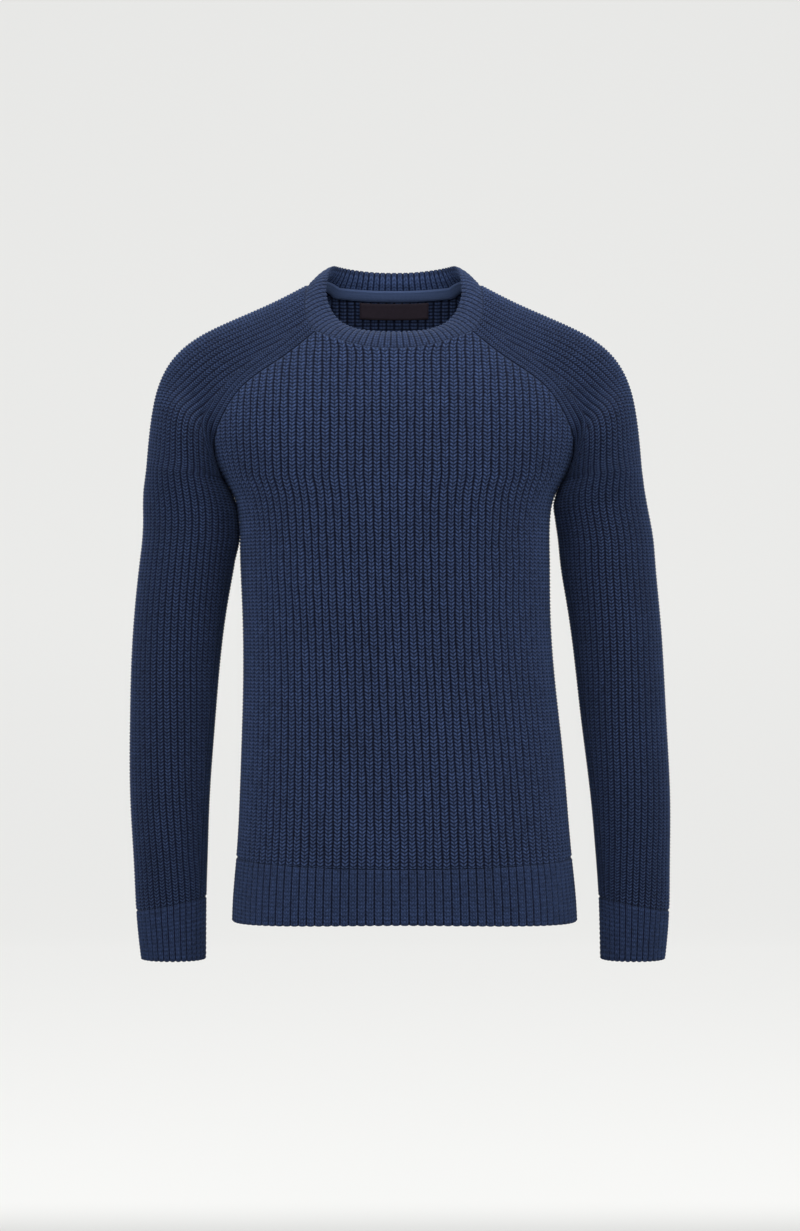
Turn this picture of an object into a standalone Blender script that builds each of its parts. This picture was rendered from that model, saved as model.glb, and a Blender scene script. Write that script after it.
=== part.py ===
"""Hollow rib knit sweater with raglan sleeves, filled out as worn. Metres, +Z up.

The front faces -Y and the wearer's left is +X. The origin is the middle of the neck
opening, where a neck and shoulders hold the garment up. Each piece is a closed wall: its
outer points follow the garment's form with the ribs raised in them, and its inner points
are plain. The form is worked out for the wearer's left half and mirrored.
"""

import bmesh
import bpy
import numpy as np

# Cloth
WALL = 0.0040
RIB_HEIGHT = 0.0016
SEAM_GAP = 0.0003
ARMHOLE_GAP = 0.0006
INNER_SEAM_GAP = 0.0014
SECTION_EXPONENT = 2.6

# Numbers of ribs. A crest lies on each whole rib number and a valley half way between.
HALF_PANEL_RIBS = 28.5
NECK_RIBS_FRONT = 9.5
NECK_RIBS_BACK = 7.5
HALF_SLEEVE_RIBS = 23.5
HALF_CUFF_RIBS = 17.5
CAP_RIBS_FRONT = 12.5
CAP_RIBS_BACK = 10.5
EDGE_RIBS = 3
COLLAR_RIBS = 96

# Heights of the seams and edges
UNDERARM_Z = -0.190
HEM_SEAM_Z = -0.5907
HEM_SEAM_RISE_AT_SIDES = 0.0047
HEM_EDGE_Z = -0.6475
HEM_EDGE_DROP_AT_SIDES = 0.0050

# Body form, the half width and depth of each level section.
# Columns: z, front width, back width, front depth, back depth
BODY = (
    (0.020, 0.0500, 0.1180, 0.0460, 0.0700),
    (-0.008, 0.0850, 0.1390, 0.0680, 0.0845),
    (-0.036, 0.1160, 0.1550, 0.0838, 0.0945),
    (-0.060, 0.1450, 0.1670, 0.0962, 0.1015),
    (-0.085, 0.1720, 0.1780, 0.1058, 0.1070),
    (-0.112, 0.1895, 0.1885, 0.1135, 0.1110),
    (-0.140, 0.1950, 0.1950, 0.1180, 0.1135),
    (-0.165, 0.1900, 0.1900, 0.1205, 0.1145),
    (-0.190, 0.1780, 0.1780, 0.1215, 0.1145),
    (-0.205, 0.1695, 0.1695, 0.1215, 0.1140),
    (-0.231, 0.1635, 0.1635, 0.1205, 0.1125),
    (-0.274, 0.1625, 0.1625, 0.1185, 0.1095),
    (-0.316, 0.1618, 0.1618, 0.1165, 0.1065),
    (-0.369, 0.1623, 0.1623, 0.1145, 0.1040),
    (-0.422, 0.1650, 0.1650, 0.1145, 0.1045),
    (-0.474, 0.1686, 0.1686, 0.1160, 0.1075),
    (-0.527, 0.1718, 0.1718, 0.1180, 0.1110),
    (-0.580, 0.1755, 0.1755, 0.1200, 0.1145),
    (-0.632, 0.1802, 0.1802, 0.1215, 0.1170),
    (-0.665, 0.1815, 0.1815, 0.1215, 0.1170),
)

# Armhole chart, from the front of the neck under the arm to the back of the neck. Ribs
# are counted from the centre front, so that 57 is the centre back.
# Columns: ribs, z
ARMHOLE = (
    (9.5, -0.0386),
    (13.8, -0.0668),
    (16.8, -0.0822),
    (19.1, -0.0960),
    (20.7, -0.1100),
    (21.9, -0.1235),
    (23.3, -0.1390),
    (25.6, -0.1670),
    (28.5, -0.1900),
    (31.4, -0.1670),
    (33.7, -0.1390),
    (36.3, -0.1080),
    (40.0, -0.0660),
    (44.5, -0.0240),
    (49.5, 0.0140),
)

# Neck seam chart on the body, from its centre line to the armhole.
# Columns: ribs, z
NECK_SEAM_FRONT = ((-4.5, -0.0535), (0.0, -0.0580), (4.5, -0.0535), (9.5, -0.0386))
NECK_SEAM_BACK = ((-4.0, 0.0114), (0.0, 0.0105), (4.0, 0.0114), (7.5, 0.0140))

# Shoulder line, along the top of the sleeve cap, from the neck to the underarm's height.
# Columns: x, z
SHOULDER = (
    (0.0906, 0.0158),
    (0.1254, -0.0021),
    (0.1823, -0.0274),
    (0.2129, -0.0443),
    (0.2330, -0.0632),
    (0.2450, -0.0843),
    (0.2535, -0.1150),
    (0.2605, -0.1780),
)

# Sleeve cap form, from the neck at station 0 to the underarm at station 1: how far the
# cloth runs on straight from the seam and from the shoulder line before it bends, and the
# share of the fold between sleeve and body.
# Columns: station, seam pull, shoulder pull, fold
CAP = (
    (0.00, 0.0340, 0.0340, 0.00),
    (0.25, 0.0360, 0.0360, 0.00),
    (0.50, 0.0450, 0.0460, 0.06),
    (0.65, 0.0500, 0.0540, 0.28),
    (0.75, 0.0510, 0.0600, 0.50),
    (0.85, 0.0580, 0.0680, 0.75),
    (0.95, 0.0790, 0.0810, 0.96),
    (1.00, 0.0893, 0.0893, 1.00),
)

# Sleeve tube form. The rise is how much higher the outer line lies than the inner one.
# Columns: z, inner x, outer x, half depth, rise, y
SLEEVE = (
    (-0.184, 0.1785, 0.2605, 0.0670, 0.012, 0.000),
    (-0.204, 0.1706, 0.2634, 0.0635, 0.008, 0.000),
    (-0.217, 0.1676, 0.2650, 0.0615, 0.006, 0.000),
    (-0.231, 0.1674, 0.2663, 0.0605, 0.005, 0.000),
    (-0.252, 0.1690, 0.2686, 0.0600, 0.002, -0.001),
    (-0.274, 0.1713, 0.2709, 0.0600, 0.000, -0.001),
    (-0.316, 0.1782, 0.2750, 0.0585, 0.000, -0.002),
    (-0.358, 0.1842, 0.2782, 0.0565, 0.000, -0.004),
    (-0.443, 0.1927, 0.2815, 0.0525, 0.000, -0.008),
    (-0.527, 0.2005, 0.2829, 0.0475, -0.003, -0.012),
    (-0.590, 0.2040, 0.2806, 0.0430, -0.008, -0.015),
    (-0.634, 0.2058, 0.2790, 0.0385, -0.014, -0.017),
    (-0.660, 0.2063, 0.2772, 0.0355, -0.010, -0.018),
    (-0.692, 0.2068, 0.2742, 0.0345, 0.000, -0.018),
)
CUFF_SEAM_Z = -0.634
CUFF_EDGE_Z = -0.692
FULL_WIDTH_Z = -0.262

# Collar's folded edge, by the neck seam's corners: 0 is the centre front, 1 and 3 are the
# armhole seams, 2 is the shoulder line and 4 the centre back.
# Columns: corner, x, y, z
COLLAR_EDGE = (
    (0.0, 0.0000, -0.0760, -0.0388),
    (1.0, 0.0578, -0.0535, -0.0235),
    (1.5, 0.0700, -0.0310, 0.0040),
    (2.0, 0.0688, -0.0010, 0.0325),
    (3.0, 0.0500, 0.0480, 0.0358),
    (4.0, 0.0000, 0.0600, 0.0328),
)
COLLAR_THICKNESS = 0.0055
COLLAR_BULGE = 0.0015
COLLAR_RIB_HEIGHT = 0.0012

# The filled-out garment hangs a little towards the wearer's left as it goes down.
# Columns: z, shift of x
BODY_LEAN = (
    (-0.665, 0.0112),
    (-0.580, 0.0105),
    (-0.474, 0.0083),
    (-0.370, 0.0040),
    (-0.280, 0.0012),
    (-0.200, 0.0),
)
SLEEVE_LEAN = (
    (-0.700, 0.0096),
    (-0.630, 0.0090),
    (-0.527, 0.0066),
    (-0.420, 0.0040),
    (-0.330, 0.0033),
    (-0.274, 0.0037),
    (-0.253, 0.0040),
    (-0.231, 0.0026),
    (-0.215, 0.0010),
    (-0.200, 0.0),
)

# Rows of a panel's walls, up each rib line: shares of the height, then two fixed distances
# below the top edge, which are also the rows of the tape and the label.
PANEL_SHARES = (0.0, 0.15, 0.32, 0.50, 0.67, 0.84, 1.0)
TAPE_DEPTH = 0.0090
LABEL_DEPTH = 0.0250
RIBS_PER_INNER_STEP = 2
INNER_SIDE_COLUMNS = 11
INNER_CUFF_COLUMNS = 10

# Rows of the sleeves, by station: 0 at the neck, 1 at the underarm and 2 at the cuff seam
SLEEVE_STATIONS = (0.10, 0.22, 0.32, 0.41, 0.49, 0.57, 0.65, 0.75, 0.87, 1.0, 1.02, 1.12, 1.26, 1.45,
                   1.65, 1.85)
CAP_INNER_STATIONS = (0.036, 0.15, 0.27, 0.38, 0.47, 0.56, 0.66, 0.78, 0.90, 0.97)
TUBE_INNER_STATIONS = (1.02, 1.08, 1.20, 1.40, 1.60, 1.80)
INNER_SLEEVE_STEPS = 7

# Neck tape and label, on the back's inner wall
TAPE_END_RIBS = 3.0
TAPE_STATION = 0.036
LABEL_HALF_RIBS = 4
TRIM_THICKNESS = 0.0010
TRIM_EDGE_GAP = 0.0008

# Samples along the lines that the form is worked out from
SECTION_SAMPLES = 65
HALF_SLEEVE_SAMPLES = 49
HOLE_SAMPLES = 161
CAP_SAMPLES = 61
CUFF_SAMPLES = 13
NECK_SAMPLES = 24
RIB_TABLE_SAMPLES = 31
SMALL_RIBS = 0.05
SMALL_HEIGHT = 0.0005
SMALL_STATION = 0.004
ROW_MARGIN = 0.012
RIB_PITCH = 0.0085
NECK_BLEND = 0.08
WELD_DISTANCE = 0.00002
SHARP_ANGLE = np.radians(50)

COLLECTION_NAME = "Rib_knit_sweater"
KNIT_BLUE = (0.030, 0.052, 0.125, 1.0)
RIB_BLUE = (0.024, 0.042, 0.100, 1.0)
TAPE_BLUE = (0.040, 0.066, 0.165, 1.0)
LABEL_BROWN = (0.012, 0.008, 0.012, 1.0)
FRONT = -1.0
BACK = 1.0
UNDERARM = HOLE_SAMPLES // 2


def unit(vectors):
    """Give vectors of length one."""
    return vectors / np.linalg.norm(vectors, axis=-1, keepdims=True)


def spline(rows):
    """Give the smooth function through a table's rows, of its first column."""
    table = np.array(sorted(map(tuple, rows)))
    xs, ys = table[:, 0], table[:, 1:]
    steps = np.diff(xs)
    slopes = np.diff(ys, axis=0) / steps[:, None]
    system = np.eye(len(xs))
    right = np.zeros_like(ys)
    for row in range(1, len(xs) - 1):
        before, after = steps[row - 1], steps[row]
        system[row, row - 1:row + 2] = before, 2 * (before + after), after
        right[row] = 6 * (slopes[row] - slopes[row - 1])
    bends = np.linalg.solve(system, right)

    def value(at):
        at = np.clip(at, xs[0], xs[-1])
        cell = np.clip(np.searchsorted(xs, at) - 1, 0, len(xs) - 2)
        step = steps[cell][..., None]
        far = (at - xs[cell])[..., None] / step
        near = 1 - far
        curve = (near ** 3 - near) * bends[cell] + (far ** 3 - far) * bends[cell + 1]
        return near * ys[cell] + far * ys[cell + 1] + curve * step ** 2 / 6

    return value


def path_spline(points):
    """Give the smooth path through points, of the share 0 to 1 of its length."""
    points = np.asarray(points, float)
    run = np.concatenate(([0], np.cumsum(np.linalg.norm(np.diff(points, axis=0), axis=1))))
    return spline(np.column_stack((run / run[-1], points)))


def invert_run(samples, wanted):
    """Give the sample number, with its fraction, at a length along each sampled line."""
    steps = np.linalg.norm(np.diff(samples, axis=-2), axis=-1)
    run = np.concatenate((np.zeros_like(steps[..., :1]), np.cumsum(steps, axis=-1)), axis=-1)
    wanted = np.minimum(wanted, run[..., -1])
    cell = np.clip((run < wanted[..., None]).sum(axis=-1) - 1, 0, steps.shape[-1] - 1)
    start = np.take_along_axis(run, cell[..., None], -1)[..., 0]
    step = np.take_along_axis(steps, cell[..., None], -1)[..., 0]
    return cell + (wanted - start) / np.maximum(step, 1e-9)


body_sizes = spline(BODY)
sleeve_sizes = spline(SLEEVE)
body_lean = spline(BODY_LEAN)
sleeve_lean = spline(SLEEVE_LEAN)
TURNS = np.linspace(0, np.pi / 2, SECTION_SAMPLES)
HALF_TURNS = np.linspace(0, 1, HALF_SLEEVE_SAMPLES)


def body_section(face, z, turns):
    """Give the x and depth of a level section at each turn from its centre line."""
    sizes = body_sizes(z)
    width = sizes[..., 0 if face == FRONT else 1]
    depth = sizes[..., 2 if face == FRONT else 3]
    power = 2 / SECTION_EXPONENT
    return np.stack((width * np.sin(turns) ** power, depth * np.cos(turns) ** power), -1)


def body_form(face, ribs, z):
    """Give points of the body's form, at rib numbers from the centre line and heights."""
    ribs, z = np.broadcast_arrays(np.asarray(ribs, float), np.asarray(z, float))
    samples = body_section(face, z[..., None], TURNS)
    full = body_section(face, np.minimum(z, UNDERARM_Z)[..., None], TURNS)
    girth = np.linalg.norm(np.diff(full, axis=-2), axis=-1).sum(axis=-1)
    number = invert_run(samples, np.abs(ribs) / HALF_PANEL_RIBS * girth)
    section = body_section(face, z, np.clip(number / (len(TURNS) - 1), 0, 1) * np.pi / 2)
    return np.stack((section[..., 0] * np.sign(ribs + 1e-12), face * section[..., 1], z), -1)


def body_normal(face, ribs, z):
    """Give the outward direction at points of the body's form."""
    across = body_form(face, np.minimum(ribs + SMALL_RIBS, HALF_PANEL_RIBS), z)
    across = across - body_form(face, ribs - SMALL_RIBS, z)
    up = body_form(face, ribs, z + SMALL_HEIGHT) - body_form(face, ribs, z - SMALL_HEIGHT)
    return unit(-face * np.cross(across, up))


def smooth_step(x):
    """Give a soft rise from 0 to 1."""
    x = np.clip(x, 0, 1)
    return x * x * (3 - 2 * x)


class Seam:
    """A seam line: points by station, the cloth's normal, and the way across the seam."""

    def __init__(self, stations, points, normals):
        self.stations = stations
        self.points = points
        self.normals = unit(normals)
        along = np.gradient(points, axis=0)
        self.across = unit(np.cross(self.normals, along))

    def at(self, station):
        """Give the point, normal and across direction at stations."""
        picks = []
        for values in (self.points, self.normals, self.across):
            columns = [np.interp(station, self.stations, values[:, axis]) for axis in range(3)]
            picks.append(np.stack(columns, -1))
        return picks[0], unit(picks[1]), unit(picks[2])


def armhole():
    """Give the armhole's stations, ribs, heights, points and body normals."""
    chart = np.array(ARMHOLE)
    metres = chart * np.array((RIB_PITCH, 1.0))
    run = np.concatenate(([0], np.cumsum(np.linalg.norm(np.diff(metres, axis=0), axis=1))))
    under = run[ARMHOLE.index((HALF_PANEL_RIBS, UNDERARM_Z))]
    stations = np.where(run <= under, run / under, 1 + (run - under) / (run[-1] - under))
    dense = np.linspace(0, 2, HOLE_SAMPLES)
    ribs, z = spline(np.column_stack((stations, chart)))(dense).T
    ribs = np.where(np.abs(dense - 1) < 1e-9, HALF_PANEL_RIBS, ribs)
    front, back = dense <= 1, dense > 1
    on_back = 2 * HALF_PANEL_RIBS - ribs[back]
    points = np.vstack((body_form(FRONT, ribs[front], z[front]), body_form(BACK, on_back, z[back])))
    normals = np.vstack((body_normal(FRONT, ribs[front], z[front]),
                         body_normal(BACK, on_back, z[back])))
    return dense, ribs, z, points, normals


def sleeve_frames(hole_points, hole_normals, hole_stations):
    """Give each station's seam points, shoulder point and the pull of both ends.

    Stations run from 0 at the neck over 1 at the underarm and 2 at the cuff seam to 3 at
    the cuff's edge. A half section is a cubic curve from the shoulder line to the seam.
    """
    cap = np.linspace(0, 1, CAP_SAMPLES)
    shoulder = path_spline([(x, 0.0, z) for x, z in SHOULDER])(cap)
    seam_pull, shoulder_pull, fold = np.split(spline(CAP)(cap), 3, axis=1)
    along = np.gradient(hole_points, axis=0)
    across = unit(np.cross(hole_normals, along))
    frames = {}
    for face, stations in ((FRONT, cap), (BACK, 2 - cap)):
        seam = np.stack([np.interp(stations, hole_stations, hole_points[:, k]) for k in range(3)], -1)
        leave = np.stack([np.interp(stations, hole_stations, across[:, k]) for k in range(3)], -1)
        leave = unit((1 - fold) * unit(leave) + fold * np.array((0.0, face, 0.0)))
        over = np.array((0.0, face, 0.0)) * shoulder_pull
        frames[face] = [seam, leave * seam_pull, shoulder, over]
    levels = np.concatenate((np.linspace(SLEEVE[0][0], CUFF_SEAM_Z, CAP_SAMPLES)[1:],
                             np.linspace(CUFF_SEAM_Z, CUFF_EDGE_Z, CUFF_SAMPLES)[1:]))
    stations = np.concatenate((cap, np.linspace(1, 2, CAP_SAMPLES)[1:],
                               np.linspace(2, 3, CUFF_SAMPLES)[1:]))
    inner_x, outer_x, half_depth, rise, y = sleeve_sizes(levels).T
    inner = np.column_stack((inner_x, y, levels - rise / 2))
    outer = np.column_stack((outer_x, y, levels + rise / 2))
    for face, (seam, leave, top, over) in frames.items():
        pull = np.array((0.0, face, 0.0)) * (4 / 3 * half_depth)[:, None]
        frames[face] = [np.vstack((seam, inner)), np.vstack((leave, pull)),
                        np.vstack((top, outer)), np.vstack((over, pull))]
    return stations, frames


hole_stations, hole_ribs, hole_z, hole_points, hole_body_normals = armhole()
frame_stations, frames = sleeve_frames(hole_points, hole_body_normals, hole_stations)


def sleeve_section(face, station, samples):
    """Give a half section's points at samples, 0 at the shoulder line and 1 at the seam."""
    picks = []
    for values in frames[face]:
        columns = [np.interp(station, frame_stations, values[:, axis]) for axis in range(3)]
        picks.append(np.stack(columns, -1))
    seam, leave, top, over = picks
    t = np.asarray(samples)[..., None]
    far, near = t, 1 - t
    return (near ** 3 * top + 3 * near ** 2 * far * (top + over)
            + 3 * near * far ** 2 * (seam + leave) + far ** 3 * seam)


def half_length(face, station):
    """Give the length of half sections at stations."""
    samples = sleeve_section(face, np.asarray(station)[..., None], HALF_TURNS)
    return np.linalg.norm(np.diff(samples, axis=-2), axis=-1).sum(axis=-1)


def rib_table(face, neck_ribs):
    """Give stations and the number of ribs that half a sleeve has there."""
    cap = np.linspace(0, 1, RIB_TABLE_SAMPLES)
    lengths = np.maximum.accumulate(half_length(face, cap))
    grown = (lengths - lengths[0]) / (lengths[-1] - lengths[0])
    grown = 0.7 * grown + 0.3 * cap
    ribs = neck_ribs + (HALF_SLEEVE_RIBS - neck_ribs) * grown
    full = 1 + (FULL_WIDTH_Z - SLEEVE[0][0]) / (CUFF_SEAM_Z - SLEEVE[0][0])
    stations = np.concatenate((cap, (full, 2, 3)))
    return stations, np.concatenate((ribs, (HALF_SLEEVE_RIBS, HALF_CUFF_RIBS, HALF_CUFF_RIBS)))


RIB_TABLES = {FRONT: rib_table(FRONT, CAP_RIBS_FRONT), BACK: rib_table(BACK, CAP_RIBS_BACK)}


def sleeve_form(face, ribs, station):
    """Give points of the sleeve's form, at rib numbers from the shoulder line."""
    ribs, station = np.broadcast_arrays(np.asarray(ribs, float), np.asarray(station, float))
    samples = sleeve_section(face, station[..., None], HALF_TURNS)
    length = np.linalg.norm(np.diff(samples, axis=-2), axis=-1).sum(axis=-1)
    wanted = np.abs(ribs) / np.interp(station, *RIB_TABLES[face]) * length
    number = invert_run(samples, wanted)
    return sleeve_section(face, station, np.clip(number / (len(HALF_TURNS) - 1), 0, 1))


def sleeve_normal(face, ribs, station):
    """Give the outward direction at points of the sleeve's form."""
    total = np.interp(station, *RIB_TABLES[face])
    small = SMALL_STATION * total
    across = sleeve_form(face, np.minimum(ribs + small, total), station)
    across = across - sleeve_form(face, np.maximum(ribs - small, 0), station)
    across = np.where((np.asarray(ribs) <= 0)[..., None], np.array((0.0, face, 0.0)), across)
    ends = []
    for offset in (SMALL_STATION, -SMALL_STATION):
        at = np.clip(np.asarray(station, float) + offset, 0, 3)
        ends.append(sleeve_form(face, ribs * np.interp(at, *RIB_TABLES[face]) / total, at))
    down = ends[0] - ends[1]
    return unit(-face * np.cross(across, down))


def neck():
    """Give the half neck seam's points and normals, from centre front to centre back."""
    body_front = np.linspace(0, NECK_RIBS_FRONT, NECK_SAMPLES + 1)
    body_back = np.linspace(NECK_RIBS_BACK, 0, NECK_SAMPLES + 1)
    cap_front = np.linspace(CAP_RIBS_FRONT, 0, NECK_SAMPLES + 1)[1:]
    cap_back = np.linspace(0, CAP_RIBS_BACK, NECK_SAMPLES + 1)[1:-1]
    z_front = spline(NECK_SEAM_FRONT)(body_front)[:, 0]
    z_back = spline(NECK_SEAM_BACK)(body_back)[:, 0]
    points = np.vstack((body_form(FRONT, body_front, z_front), sleeve_form(FRONT, cap_front, 0),
                        sleeve_form(BACK, cap_back, 0), body_form(BACK, body_back, z_back)))
    normals = np.vstack((body_normal(FRONT, body_front, z_front),
                         sleeve_normal(FRONT, cap_front, 0), sleeve_normal(BACK, cap_back, 0),
                         body_normal(BACK, body_back, z_back)))
    return points, normals


NECK_CORNERS = tuple(NECK_SAMPLES * corner for corner in range(5))
neck_points, neck_body_normals = neck()
neck_run = np.concatenate(([0], np.cumsum(np.linalg.norm(np.diff(neck_points, axis=0), axis=1))))
neck_share = neck_run / neck_run[-1]


def collar_edge():
    """Give the collar's folded edge at each point of the half neck seam."""
    shares = neck_share[list(NECK_CORNERS)]
    rows = []
    for corner, x, y, z in COLLAR_EDGE:
        rows.append((np.interp(corner, range(len(shares)), shares), x, y, z))
    before = [(-share, -x, y, z) for share, x, y, z in rows[1:3]]
    after = [(2 - share, -x, y, z) for share, x, y, z in rows[3:5]]
    return spline(before + rows + after)(neck_share)


def make_seams():
    """Give the neck seam and the armhole seam, which share their corners' normals."""
    edge = collar_edge()
    along = np.gradient(neck_points, axis=0)
    along[[0, -1]] = np.array(((1.0, 0.0, 0.0), (-1.0, 0.0, 0.0)))
    collar_normals = unit(np.cross(along, edge - neck_points))
    neck_seam = Seam(neck_share, neck_points, neck_body_normals + collar_normals)
    along = np.gradient(hole_points, axis=0)
    leave = np.vstack((frames[FRONT][1][:CAP_SAMPLES], frames[BACK][1][CAP_SAMPLES - 2::-1]))
    at = np.concatenate((frame_stations[:CAP_SAMPLES], 2 - frame_stations[CAP_SAMPLES - 2::-1]))
    leave = np.stack([np.interp(hole_stations, at, leave[:, axis]) for axis in range(3)], -1)
    normals = unit(unit(np.cross(along, leave)) + hole_body_normals)
    end = np.minimum(hole_stations, 2 - hole_stations)
    near_neck = (1 - smooth_step(end / NECK_BLEND))[:, None]
    front_corner, back_corner = (neck_seam.normals[NECK_CORNERS[i]] for i in (1, 3))
    corner = np.where(hole_stations[:, None] < 1, front_corner, back_corner)
    normals = unit(normals * (1 - near_neck) + corner * near_neck)
    normals[UNDERARM] = (0.0, 0.0, -1.0)
    return neck_seam, Seam(hole_stations, hole_points, normals), edge


neck_seam, hole_seam, collar_edge_points = make_seams()


def crest(ribs):
    """Give how far rib lines lie below the crests: none on whole numbers."""
    return np.where(np.abs(ribs - np.round(ribs)) < 0.25, 0.0, -RIB_HEIGHT)


class Wall:
    """Collects the grids and strips of points that bound one closed wall."""

    def __init__(self):
        self.points = []
        self.faces = []

    def grid(self, rows, mirror_from=None):
        """Fill a grid of points, given as rows of columns.

        The diagonals before column mirror_from run the other way.
        """
        rows = np.asarray(rows)
        start = len(self.points)
        self.points.extend(rows.reshape(-1, 3))
        across = rows.shape[1]
        for row in range(rows.shape[0] - 1):
            for column in range(across - 1):
                a = start + row * across + column
                b, c, d = a + 1, a + across + 1, a + across
                if mirror_from is not None and column < mirror_from:
                    self.faces += [(a, b, c), (a, c, d)]
                else:
                    self.faces += [(a, b, d), (b, c, d)]

    def strip(self, first, second, first_at=None, second_at=None):
        """Fill the strip between two lines of points that run side by side.

        The lines are matched by the values given for their points, or by their lengths.
        """
        start = len(self.points)
        self.points.extend(first)
        self.points.extend(second)
        matches = []
        for line, at in ((first, first_at), (second, second_at)):
            run = np.concatenate(([0], np.cumsum(np.linalg.norm(np.diff(line, axis=0), axis=1))))
            matches.append(run / run[-1] if at is None else at)
        a, b = 0, 0
        while a < len(first) - 1 or b < len(second) - 1:
            first_next = b == len(second) - 1
            if not first_next and a < len(first) - 1:
                first_next = matches[0][a + 1] <= matches[1][b + 1] + 1e-9
            near = start + len(first) + b
            if first_next:
                self.faces.append((start + a, start + a + 1, near))
                a += 1
            else:
                self.faces.append((start + a, near + 1, near))
                b += 1


def make_object(collection, name, wall, lean, mirror, colour, roughness):
    """Make one closed object from a wall's points, leaned and mirrored into place."""
    points = np.array(wall.points)
    if mirror:
        points[:, 0] *= -1
    if lean is not None:
        points[:, 0] += lean(points[:, 2])[:, 0]
    mesh = bpy.data.meshes.new(name)
    shape = bmesh.new()
    corners = [shape.verts.new(point) for point in points]
    for face in wall.faces:
        shape.faces.new([corners[index] for index in face])
    bmesh.ops.remove_doubles(shape, verts=shape.verts, dist=WELD_DISTANCE)
    bmesh.ops.recalc_face_normals(shape, faces=shape.faces)
    shape.to_mesh(mesh)
    shape.free()
    mesh.shade_smooth()
    mesh.set_sharp_from_angle(angle=SHARP_ANGLE)
    material = bpy.data.materials.new(name)
    material.use_nodes = True
    shader = material.node_tree.nodes["Principled BSDF"]
    shader.inputs["Base Color"].default_value = colour
    shader.inputs["Roughness"].default_value = roughness
    shader.inputs["Metallic"].default_value = 0.0
    mesh.materials.append(material)
    collection.objects.link(bpy.data.objects.new(name, mesh))


def both_halves(half):
    """Join a half grid, whose first column is the centre line, to its mirror image."""
    mirrored = half[:, :0:-1] * np.array((-1.0, 1.0, 1.0))
    return np.concatenate((mirrored, half), axis=1)


def close_sheet(wall, outer, inner, outer_ribs, inner_ribs):
    """Fill a symmetric sheet's outer and inner grids and the four edges between them."""
    wall.grid(outer, len(outer[0]) // 2)
    wall.grid(inner, len(inner[0]) // 2)
    for row in (0, -1):
        for half in (slice(len(outer_ribs) - 1, None), slice(len(outer_ribs) - 1, None, -1)):
            few = slice(len(inner_ribs) - 1, None, half.step)
            wall.strip(outer[row][half], inner[row][few], outer_ribs, inner_ribs)
    wall.strip(outer[:, 0], inner[:, 0])
    wall.strip(outer[:, -1], inner[:, -1])


def seam_side(seam, station, side, depth):
    """Give points beside a seam, on one side of it and at a depth below the crests."""
    points, normals, across = seam.at(station)
    share = np.asarray(depth) / WALL
    outer_gap = ARMHOLE_GAP if seam is hole_seam else SEAM_GAP
    gap = outer_gap / 2 + (INNER_SEAM_GAP - outer_gap) / 2 * share
    return points + side * across * gap[..., None] - normals * np.asarray(depth)[..., None]


def panel_top(face, ribs):
    """Give the height of a panel's top edge at rib numbers."""
    neck_ribs = NECK_RIBS_FRONT if face == FRONT else NECK_RIBS_BACK
    chart = NECK_SEAM_FRONT if face == FRONT else NECK_SEAM_BACK
    neck_z = spline(chart)(np.minimum(ribs, neck_ribs))[:, 0]
    if face == FRONT:
        side_z = np.interp(ribs, hole_ribs[:UNDERARM + 1], hole_z[:UNDERARM + 1])
    else:
        back_ribs = 2 * HALF_PANEL_RIBS - hole_ribs[:UNDERARM - 1:-1]
        side_z = np.interp(ribs, back_ribs, hole_z[:UNDERARM - 1:-1])
    return np.where(ribs <= neck_ribs, neck_z, side_z)


def panel_top_points(face, ribs, depth):
    """Give a panel's top edge: the neck seam, then the armhole seam."""
    neck_ribs = NECK_RIBS_FRONT if face == FRONT else NECK_RIBS_BACK
    corner, other = (0, 1) if face == FRONT else (4, 3)
    start, end = neck_share[NECK_CORNERS[corner]], neck_share[NECK_CORNERS[other]]
    on_neck = start + (end - start) * np.minimum(ribs / neck_ribs, 1)
    if face == FRONT:
        on_hole = np.interp(ribs, hole_ribs[:UNDERARM + 1], hole_stations[:UNDERARM + 1])
    else:
        back_ribs = 2 * HALF_PANEL_RIBS - hole_ribs[:UNDERARM - 1:-1]
        on_hole = np.interp(ribs, back_ribs, hole_stations[:UNDERARM - 1:-1])
    neck_side = seam_side(neck_seam, on_neck, -1, depth)
    hole_side = seam_side(hole_seam, on_hole, -1, depth)
    at_corner = np.abs(ribs - neck_ribs) < 0.01
    base, lift, _ = neck_seam.at(on_neck)
    both = neck_side + hole_side - base + lift * depth[:, None]
    top = np.where((ribs < neck_ribs)[:, None], neck_side, hole_side)
    return np.where(at_corner[:, None], both, top)


def hem_seam_z(ribs):
    """Give the height of the seam between body and hem rib."""
    return HEM_SEAM_Z + HEM_SEAM_RISE_AT_SIDES * smooth_step(np.abs(ribs) / HALF_PANEL_RIBS)


def hem_edge_z(ribs):
    """Give the height of the hem rib's lower edge."""
    return HEM_EDGE_Z - HEM_EDGE_DROP_AT_SIDES * smooth_step(np.abs(ribs) / HALF_PANEL_RIBS)


def half_panel_points(face, ribs, z, depth, side_gap):
    """Give points of half a panel at a depth below the crests, clear of the side seam."""
    points = body_form(face, ribs, z) - body_normal(face, ribs, z) * depth[..., None]
    at_side = np.asarray(ribs) >= HALF_PANEL_RIBS
    points[..., 1] += np.where(at_side, face * side_gap / 2, 0.0)
    return points


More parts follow.
